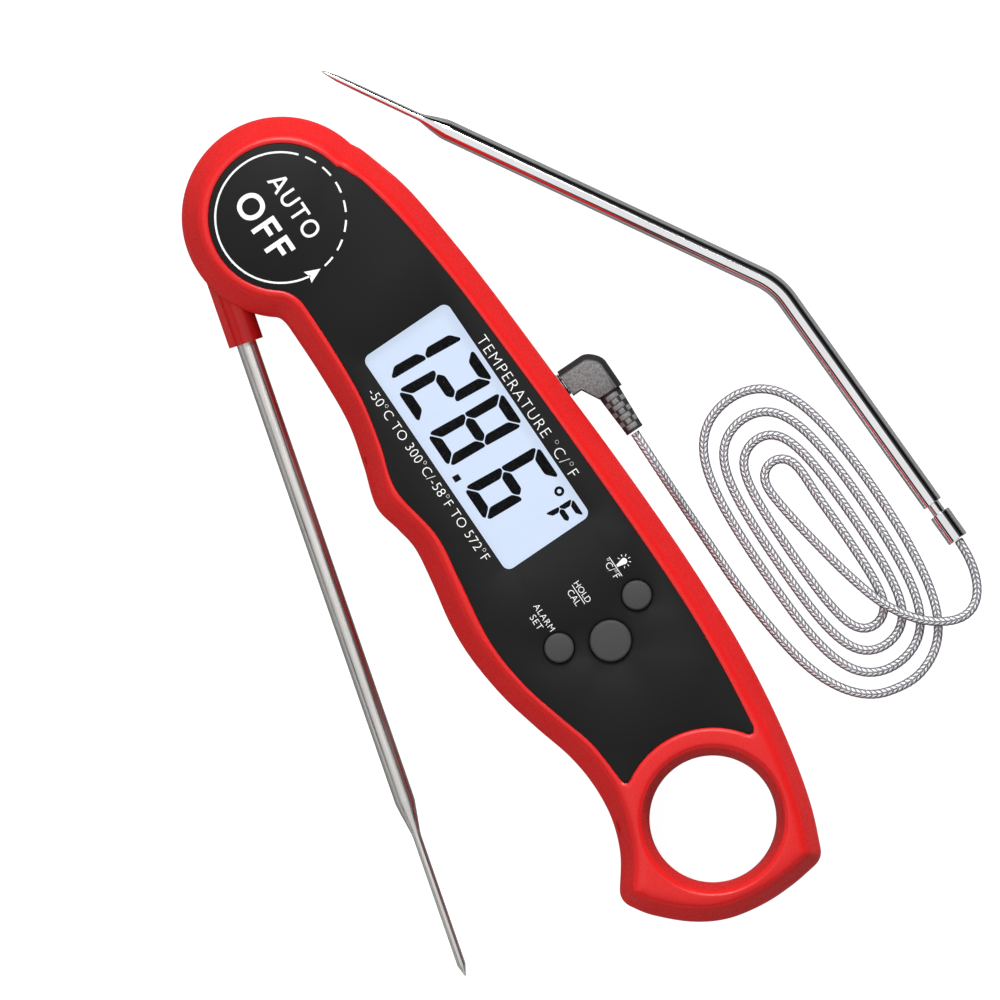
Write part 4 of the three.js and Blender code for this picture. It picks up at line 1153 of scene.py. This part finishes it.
def make_back():
    """The back shell: the cover's seat and thread, magnet pockets, screw holes and sound holes."""
    ring = ring_at(RING_MOUTH)
    steps = [0.05, 0.15, 0.3, 0.5, 0.75, 1.0, 1.3, 1.6, 2.0, 2.4]
    xy, faces = fill([OUTLINE, ring], loops_inside(OUTLINE, steps, near_outline))
    solid = Solid().sheet(xy, faces, back_height(xy))
    top = PARTING_Z - HALF_GAP
    high = moved_in(OUTLINE, 0.25)
    solid.wall([(OUTLINE, FOOT_Z), (OUTLINE, 5.0), (OUTLINE, top - 0.3), (high, top)])
    ring_wall = ring_levels((0.5, 12.55), (1.6, 12.1), (3.2, 11.6), (5.2, 11.25), (top, RING_BORE))
    solid.wall([(ring, 0.0), *ring_wall])
    solid.sheet(*fill([high, ring_at(RING_BORE)]), top)
    shell = cut(solid.mesh(), prism([cavity_outline()], FLOOR_Z, 9.5), *slot_tools())
    x, y = CELL_CENTRE
    bosses = [disc(x, y, 13.7, BOSS_FOOT, 6.0, 96), *discs(CASE_SCREWS, 2.9, BOSS_FOOT, 8.4, 32)]
    shell = join(shell, *bosses, *discs(MAGNETS, 7.3, BOSS_FOOT, 3.6))
    tools = [
        disc(x, y, 13.5, -1, 1.8, 128), disc(x, y, 11.4, -1, 7, 96), disc(x, y, 12.3, 3.0, 4.3, 96),
        prism([circle(x, y, 12.9), circle(x, y, 11.9)], 1.0, 2.5), *lug_blocks(12.3, 3.6, 0, 0, 4.0),
    ]
    tools += discs(MAGNETS, 6.3, -1, 2.6, 96)
    tools += discs(CASE_SCREWS, 2.4, -1, 2.0, 48) + discs(CASE_SCREWS, SCREW_HOLE, 0, 9.5, 24)
    tools += discs([(-2.5, JACK_Y + dy) for dy in (-2.5, 0, 2.5)], 0.6, -1, 3, 24)
    shell = cut(shell, *tools, disc(0, 0, PIVOT_HOLE, 1.6, 9.5, 32))
    finish_piece("back_case", shell, "case", "handset", 28, "red_case", "back_shell")


def make_battery_cover():
    """A round dished cover with a coin slot, an arrow and three lugs."""
    x, y = CELL_CENTRE
    z0, z1 = 0.35, 1.5
    profile = [
        (0, z0), (12.6, z0), (12.95, z0 + 0.1), (13.15, z0 + 0.35), (13.2, z0 + 0.6), (13.2, z1),
        (11.1, z1), (11.1, 4.0), (10.3, 4.0), (10.3, z1 + 0.01), (0, z1 + 0.01),
    ]
    cover = join(turned(profile, (x, y, 0), sides=128), *lug_blocks(12.0, 3.0, 45, 3.3, 4.0))
    slot = bevelled(block(x - 6.5, x + 6.5, y - 1.0, y + 1.0, z0 - 1, z0 + 0.7), 0.3, 3)
    hollow = [(0, z0 - 0.5), (11.4, z0 - 0.5), (11.4, z0), (11.1, z0 + 0.18), (0, z0 + 0.18)]
    dish = turned(hollow, (x, y, 0), sides=128)
    arrow = [(x - 1.2, y - 7.6), (x + 1.2, y - 7.6), (x, y - 9.6)]
    mark = prism([np.array(arrow)], z0 - 1, z0 + 0.4)
    cover = cut(cover, dish, slot, mark)
    finish_piece("battery_lid", cover, "case", "battery_door", 28, "red_case", "battery_cover")


# ---------------------------------------------------------------- the face: panel, lens, keys and print
def make_face():
    holes = [circle(x, y, r + 0.1, 96) for x, y, r in BUTTONS.values()]
    plate = bevelled(prism([PANEL, display_outline(0.15), *holes], *PANEL_Z), 0.08, 2)
    finish_piece("face_plate", plate, "panel", "handset", 40, "face_black", "face_panel")
    lens = prism([display_outline(0)], PANEL_Z[0], PANEL_Z[1] - 0.02)
    finish_piece("display_window", lens, "lens", "handset", 40, "lens_clear", "display_lens")


KEY_ROUNDING = 0.45
KEY_DISH = 0.1
KEY_FLANGE = 0.7


def make_keys():
    """Round keys with a flange under the face, a rounded edge and a slightly crowned top."""
    foot = DECK_Z - 0.7
    for name, (x, y, hole) in BUTTONS.items():
        radius, top = hole - 0.1, BUTTON_TOP_Z
        flat, drop, flange = radius - KEY_ROUNDING, KEY_ROUNDING + KEY_DISH, radius + KEY_FLANGE
        profile = [(0, foot), (flange, foot), (flange, foot + 0.4), (radius, foot + 0.4)]
        for a in np.radians(np.linspace(90, 0, 9)):
            profile.append((flat + KEY_ROUNDING * math.sin(a), top - drop + KEY_ROUNDING * math.cos(a)))
        profile += [(r, top - KEY_DISH * (r / flat) ** 2) for r in np.linspace(radius - 0.6, 0, 7)]
        cap = turned(profile, (x, y, 0), sides=96)
        finish_piece(f"{name}_key_cap", cap, "key", f"{name}_key", 50, "key_grey", f"{name}_button")


def softened(loop, reach):
    """The loop with each corner replaced by a short curve."""
    points = []
    for i, corner in enumerate(loop):
        corner = np.array(corner, float)
        sides = []
        for other in (loop[i - 1], loop[(i + 1) % len(loop)]):
            away = np.array(other, float) - corner
            sides.append(corner + away * min(0.45, reach / np.linalg.norm(away)))
        points += [sides[0], (sides[0] + sides[1] + 2 * corner) / 4, sides[1]]
    return points


FIGURE_SLANT = 0.075
FIGURES = {"1": "bc", "2": "abged", "8": "abcdefg", "6": "afgedc", "F": "afge"}


def bars(w, h, t, g):
    """The seven bars of a figure w wide and h high: mitred bars t thick, with a gap of 2g between them."""
    m, c = h / 2, 0.5 * t
    top = [
        (c, h), (w - c, h), (w - c / 2 - g, h - c / 2 + g), (w - t - 2 * g, h - t), (t + 2 * g, h - t),
        (c / 2 + g, h - c / 2 + g),
    ]
    upper = [
        (0, h - c), (c / 2 - g, h - c / 2 - g), (t, h - t - 2 * g), (t, m + t / 2 + 2 * g),
        (t / 2 - g, m + g), (0.1, m + g),
    ]
    middle = [
        (t / 2 + 1.4 * g, m), (t + g, m + t / 2), (w - t - g, m + t / 2), (w - t / 2 - 1.4 * g, m),
        (w - t - g, m - t / 2), (t + g, m - t / 2),
    ]
    return {
        "a": top, "d": [(u, h - v) for u, v in top], "f": upper, "e": [(u, h - v) for u, v in upper],
        "b": [(w - u, v) for u, v in upper], "c": [(w - u, h - v) for u, v in upper], "g": middle,
    }


def make_segments():
    """The display's figures. They read towards -Y, with their tops towards +X and a slight slant."""
    starts = zip("1286", (27.15, 36.3, 45.5, 56.85))
    figures = [(figure, start, -0.5, 7.1, 15.0, 1.85, 0.08) for figure, start in starts]
    figures.append(("F", 68.6, 8.7, 3.7, 5.6, 1.0, 0.05))
    plates = []
    for figure, start, base, w, h, t, gap in figures:
        shapes = bars(w, h, t, gap)
        for name in FIGURES[figure]:
            shape = softened(shapes[name], 0.2 * t)
            plates.append([np.array([(base + v, -(start + u + v * FIGURE_SLANT)) for u, v in shape])])
    x, y = -0.4, -54.75
    point = [(x - 0.62, y + 0.55), (x - 0.62, y - 0.6), (x + 0.62, y - 0.7), (x + 0.62, y + 0.45)]
    plates.append([np.array(point)])
    plates.append([circle(13.1, -66.75, 0.88, 48), circle(13.1, -66.75, 0.38, 48)])
    solid = Solid()
    for loops in plates:
        solid.plate(loops, PANEL_SEAT_Z + 0.02, PANEL_SEAT_Z + 0.05)
    finish_piece("lcd_segments", solid.mesh(), "segment", "handset", 30, "lcd_glass")


PRINT_Z = PANEL_Z[1] + 0.005
INK = 0.015


def words(text, place, size, boldness=-0.01, spacing=1.0):
    """Printed words as a flat mesh. They read towards -Y; place is the middle of the line."""
    curve = bpy.data.curves.new("words", "FONT")
    curve.body = text
    curve.size = 1.0
    curve.align_x, curve.align_y = "CENTER", "CENTER"
    curve.offset = boldness
    curve.space_character = spacing
    curve.extrude = 0.01
    curve.resolution_u = 6
    mesh = baked(placed("words", curve))
    turn = Matrix.Rotation(-math.pi / 2, 4, "Z")
    scale = Matrix.Scale(MM, 4) @ Matrix.Diagonal((size, size, 1.0, 1.0))
    return moved(mesh, Matrix.Translation(Vector((*place, PRINT_Z)) * MM) @ turn @ scale)


def stroke(points, width):
    """A line of that width as a flat loop."""
    line = np.array(points, float)
    along = np.gradient(line, axis=0)
    along /= np.linalg.norm(along, axis=1)[:, None]
    side = np.stack([-along[:, 1], along[:, 0]], axis=1) * width / 2
    return np.vstack([line - side, (line + side)[::-1]])


def ink(*loops):
    """A printed shape."""
    return prism([np.array(loop, float) for loop in loops], PRINT_Z, PRINT_Z + INK)


def arc_stroke(start, end, width=0.34, radius=11.4):
    """A part of the dial's ring, from one angle to another in degrees."""
    angles = np.radians(np.linspace(start, end, max(4, int(abs(end - start) / 3) + 2)))
    return stroke([(radius * math.cos(a) - 0.25, radius * math.sin(a)) for a in angles], width)


def letter(name, w, t):
    """A plain sans-serif capital 1 high and w wide, with strokes t thick: its outline and its holes."""
    if name == "F":
        m, n, c = 0.44, w * 0.92, 1 - t
        return [[(0, 0), (t, 0), (t, m), (n, m), (n, m + t), (t, m + t), (t, c), (w, c), (w, 1), (0, 1)]]
    if name == "T":
        a, b, c = (w - t) / 2, (w + t) / 2, 1 - t
        return [[(a, 0), (b, 0), (b, c), (w, c), (w, 1), (0, 1), (0, c), (a, c)]]
    if name == "O":
        turn = np.linspace(0, math.tau, 72, endpoint=False)
        broad = np.copysign(np.abs(np.cos(turn)) ** 0.88, np.cos(turn))
        return [
            list(zip(w / 2 + (w / 2 - less) * broad, 0.5 + (0.515 - less) * np.sin(turn))) for less in (0, t)
        ]
    if name == "U":
        r = w / 2
        bend = np.linspace(0, math.pi, 24)
        low = [(r - r * math.cos(q), r * 0.95 - r * 0.97 * math.sin(q)) for q in bend]
        high = [(r - (r - t) * math.cos(q), r * 0.95 - (r * 0.97 - t) * math.sin(q)) for q in bend[::-1]]
        return [[(0, 1), *low, (w, 1), (w - t, 1), *high, (t, 1)]]
    a, leg, bar = t * 0.56, t * 1.08, 0.24
    lean = w / 2 - a
    foot, high = leg + lean * bar, bar + t * 0.95
    shape = [(0, 0), (leg, 0), (foot, bar), (w - foot, bar), (w - leg, 0), (w, 0)]
    shape += [(w / 2 + a, 1), (w / 2 - a, 1)]
    foot = leg + lean * high
    return [shape, [(foot, high), (w - foot, high), (w / 2, (w / 2 - leg) / lean)]]


def drawn_word(text, widths, gap, base, height, start, thickness):
    """Large printed letters, which read towards -Y from start, with their feet at x = base."""
    meshes = []
    for name, w in zip(text, widths):
        loops = letter(name, w / height, thickness / height)
        loops = [[(base + v * height, -(start + u * height)) for u, v in loop] for loop in loops]
        meshes.append(ink(*loops))
        start += w + gap
    return meshes


def make_print():
    """White print: the power dial's ring with its arrow, the words and the key labels."""
    # the dial's arc, its dashes and its arrow
    loops = [arc_stroke(40, 263)]
    for middle in [28.4 - k * 17.5 for k in range(7)]:
        loops.append(arc_stroke(middle - 5.2, middle + 5.2))
    loops.append([(0.5, -11.3), (-2.25, -10.1), (-1.85, -11.3), (-2.2, -12.45)])
    # the rules between the two words of a label
    loops.append(stroke([(5.75, -81.5), (5.75, -85.5)], 0.13))
    loops.append(stroke([(13.85, -81.1), (13.85, -85.1)], 0.13))
    # the bulb and its rays
    x, y = 15.6, -83.15
    glass = [(x + 0.55 * math.cos(a), y - 0.55 * math.sin(a)) for a in np.radians(np.arange(-120, 121, 12))]
    loops.append([(14.1, -82.95), *glass, (14.1, -83.35)])
    for a in np.radians(np.arange(-120, 121, 40)):
        c, s = math.cos(a), math.sin(a)
        loops.append(stroke([(x + 0.85 * c, y + 0.85 * s), (x + 1.25 * c, y + 1.25 * s)], 0.12))
    meshes = [ink(loop) for loop in loops]
    meshes += drawn_word("AUTO", (2.95, 2.4, 2.55, 3.0), 0.55, 1.3, 3.2, -6.6, 0.47)
    meshes += drawn_word("OFF", (4.65, 2.95, 2.95), 1.1, -5.8, 4.7, -6.8, 0.84)
    meshes += [
        words("TEMPERATURE °C/°F", (16.75, -51.4), 2.88, -0.019, 1.14),
        words("-50°C TO 300°C/-58°F TO 572°F", (-4.15, -51.6), 2.45, -0.015, 1.06),
        words("ALARM", (-1.5, -83.5), 1.6, spacing=1.12),
        words("SET", (-3.1, -83.4), 1.7, spacing=1.12),
        words("HOLD", (6.55, -83.5), 1.55),
        words("CAL", (4.75, -83.5), 1.65),
        words("°C/°F", (12.95, -83.0), 1.75),
    ]
    finish_piece("face_print", merged("face_print", meshes), "print", "handset", 30, "face_black")


# ---------------------------------------------------------------- the folding probe
def make_folding_probe():
    """Modelled folded, beside the case, and turned out to where it rests."""
    turn = Matrix.Rotation(-REST_OPEN, 4, "Z")
    profile = [
        (0, -135.6), (0.12, -135.5), (0.62, -133.9), (0.74, -133.5), (0.75, -109.9), (0.8, -109.2),
        (1.68, -103.9), (1.75, -103.2), (1.75, -9.2), (0, -9.2),
    ]
    shaft = turned(profile, (PROBE_X, 0, HUB_MID_Z), (0, 1, 0), 56)
    finish_piece("folding_shaft", moved(shaft, turn), "satin", "folding_probe", 28, "steel", "probe_shaft")
    z0, z1 = HUB_Z
    profile = [
        (6.05, z0), (15.8, z0), (16.1, z0 + 0.1), (16.2, z0 + 0.4), (16.2, z1 - 0.4), (16.1, z1 - 0.1),
        (15.8, z1), (6.05, z1), (6.05, z0),
    ]
    wheel = turned(profile, sides=160)
    arch = [(0.5 + 2.6 * math.cos(a), 3.1 * math.sin(a)) for a in np.radians(np.linspace(158, 0, 40))]
    half = [(-3.1, 0.95), (-2.95, 1.12), *arch]
    section = np.array(half + [(x, -z) for x, z in half[-2::-1]])[::-1]
    neck = prism([section], -0.5, 18.7)
    stand = Matrix.Translation((PROBE_X * MM, 0, HUB_MID_Z * MM)) @ Matrix.Rotation(math.pi / 2, 4, "X")
    neck = moved(bevelled(neck, 0.3, 3, 60), stand)
    tools = [
        turned([(0, -1), (1.95, -1), (1.95, 12), (0, 12)], (PROBE_X, -20.2, HUB_MID_Z), (0, 1, 0), 48),
        prism([circle(0, 0, 9.9), circle(0, 0, 6.9)], z1 - 0.9, z1 + 1),
        prism([circle(0, 0, 9.5), circle(0, 0, 6.9)], z0 - 1, z0 + 1.0),
        disc(0, -12.6, 1.9, HUB_MID_Z - 1.6, z1 + 1, 48),
    ]
    hub = moved(cut(join(wheel, neck), *tools), turn)
    finish_piece("folding_hub", hub, "arm", "folding_probe", 30, "red_case", "probe_hub")


make_front()
make_back()
make_battery_cover()
make_face()
make_keys()
make_segments()
make_print()
make_folding_probe()

# ---------------------------------------------------------------- materials of the CAD nodes that show
NODE_LOOKS = {
    "lcd": ["lcd_panel"],
    "diffuser": ["backlight_panel"],
    "board": ["main_board"],
    "inner": ["probe_jack", "buzzer", "hinge_sensor", "probe_thermistor", "wired_thermistor"],
    "rubber": ["battery_seal_ring", "hub_seal_ring"],
    "screw": [*(f"case_screw_{k}" for k in (1, 2, 3, 4)), "pivot_screw", "hub_wave_washer"],
    "bright": ["plug_sleeve", "plug_tip", "coin_cell", "alarm_switch", "hold_switch", "light_switch"],
    "magnet": ["upper_magnet", "lower_magnet", "hub_magnet"],
    "gold": ["cell_contact_positive", "cell_contact_negative", "probe_wire", "wired_probe_wire"],
}
for look, names in NODE_LOOKS.items():
    for name in names:
        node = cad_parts[name]
        node.data.materials.clear()
        node.data.materials.append(LOOKS[look])
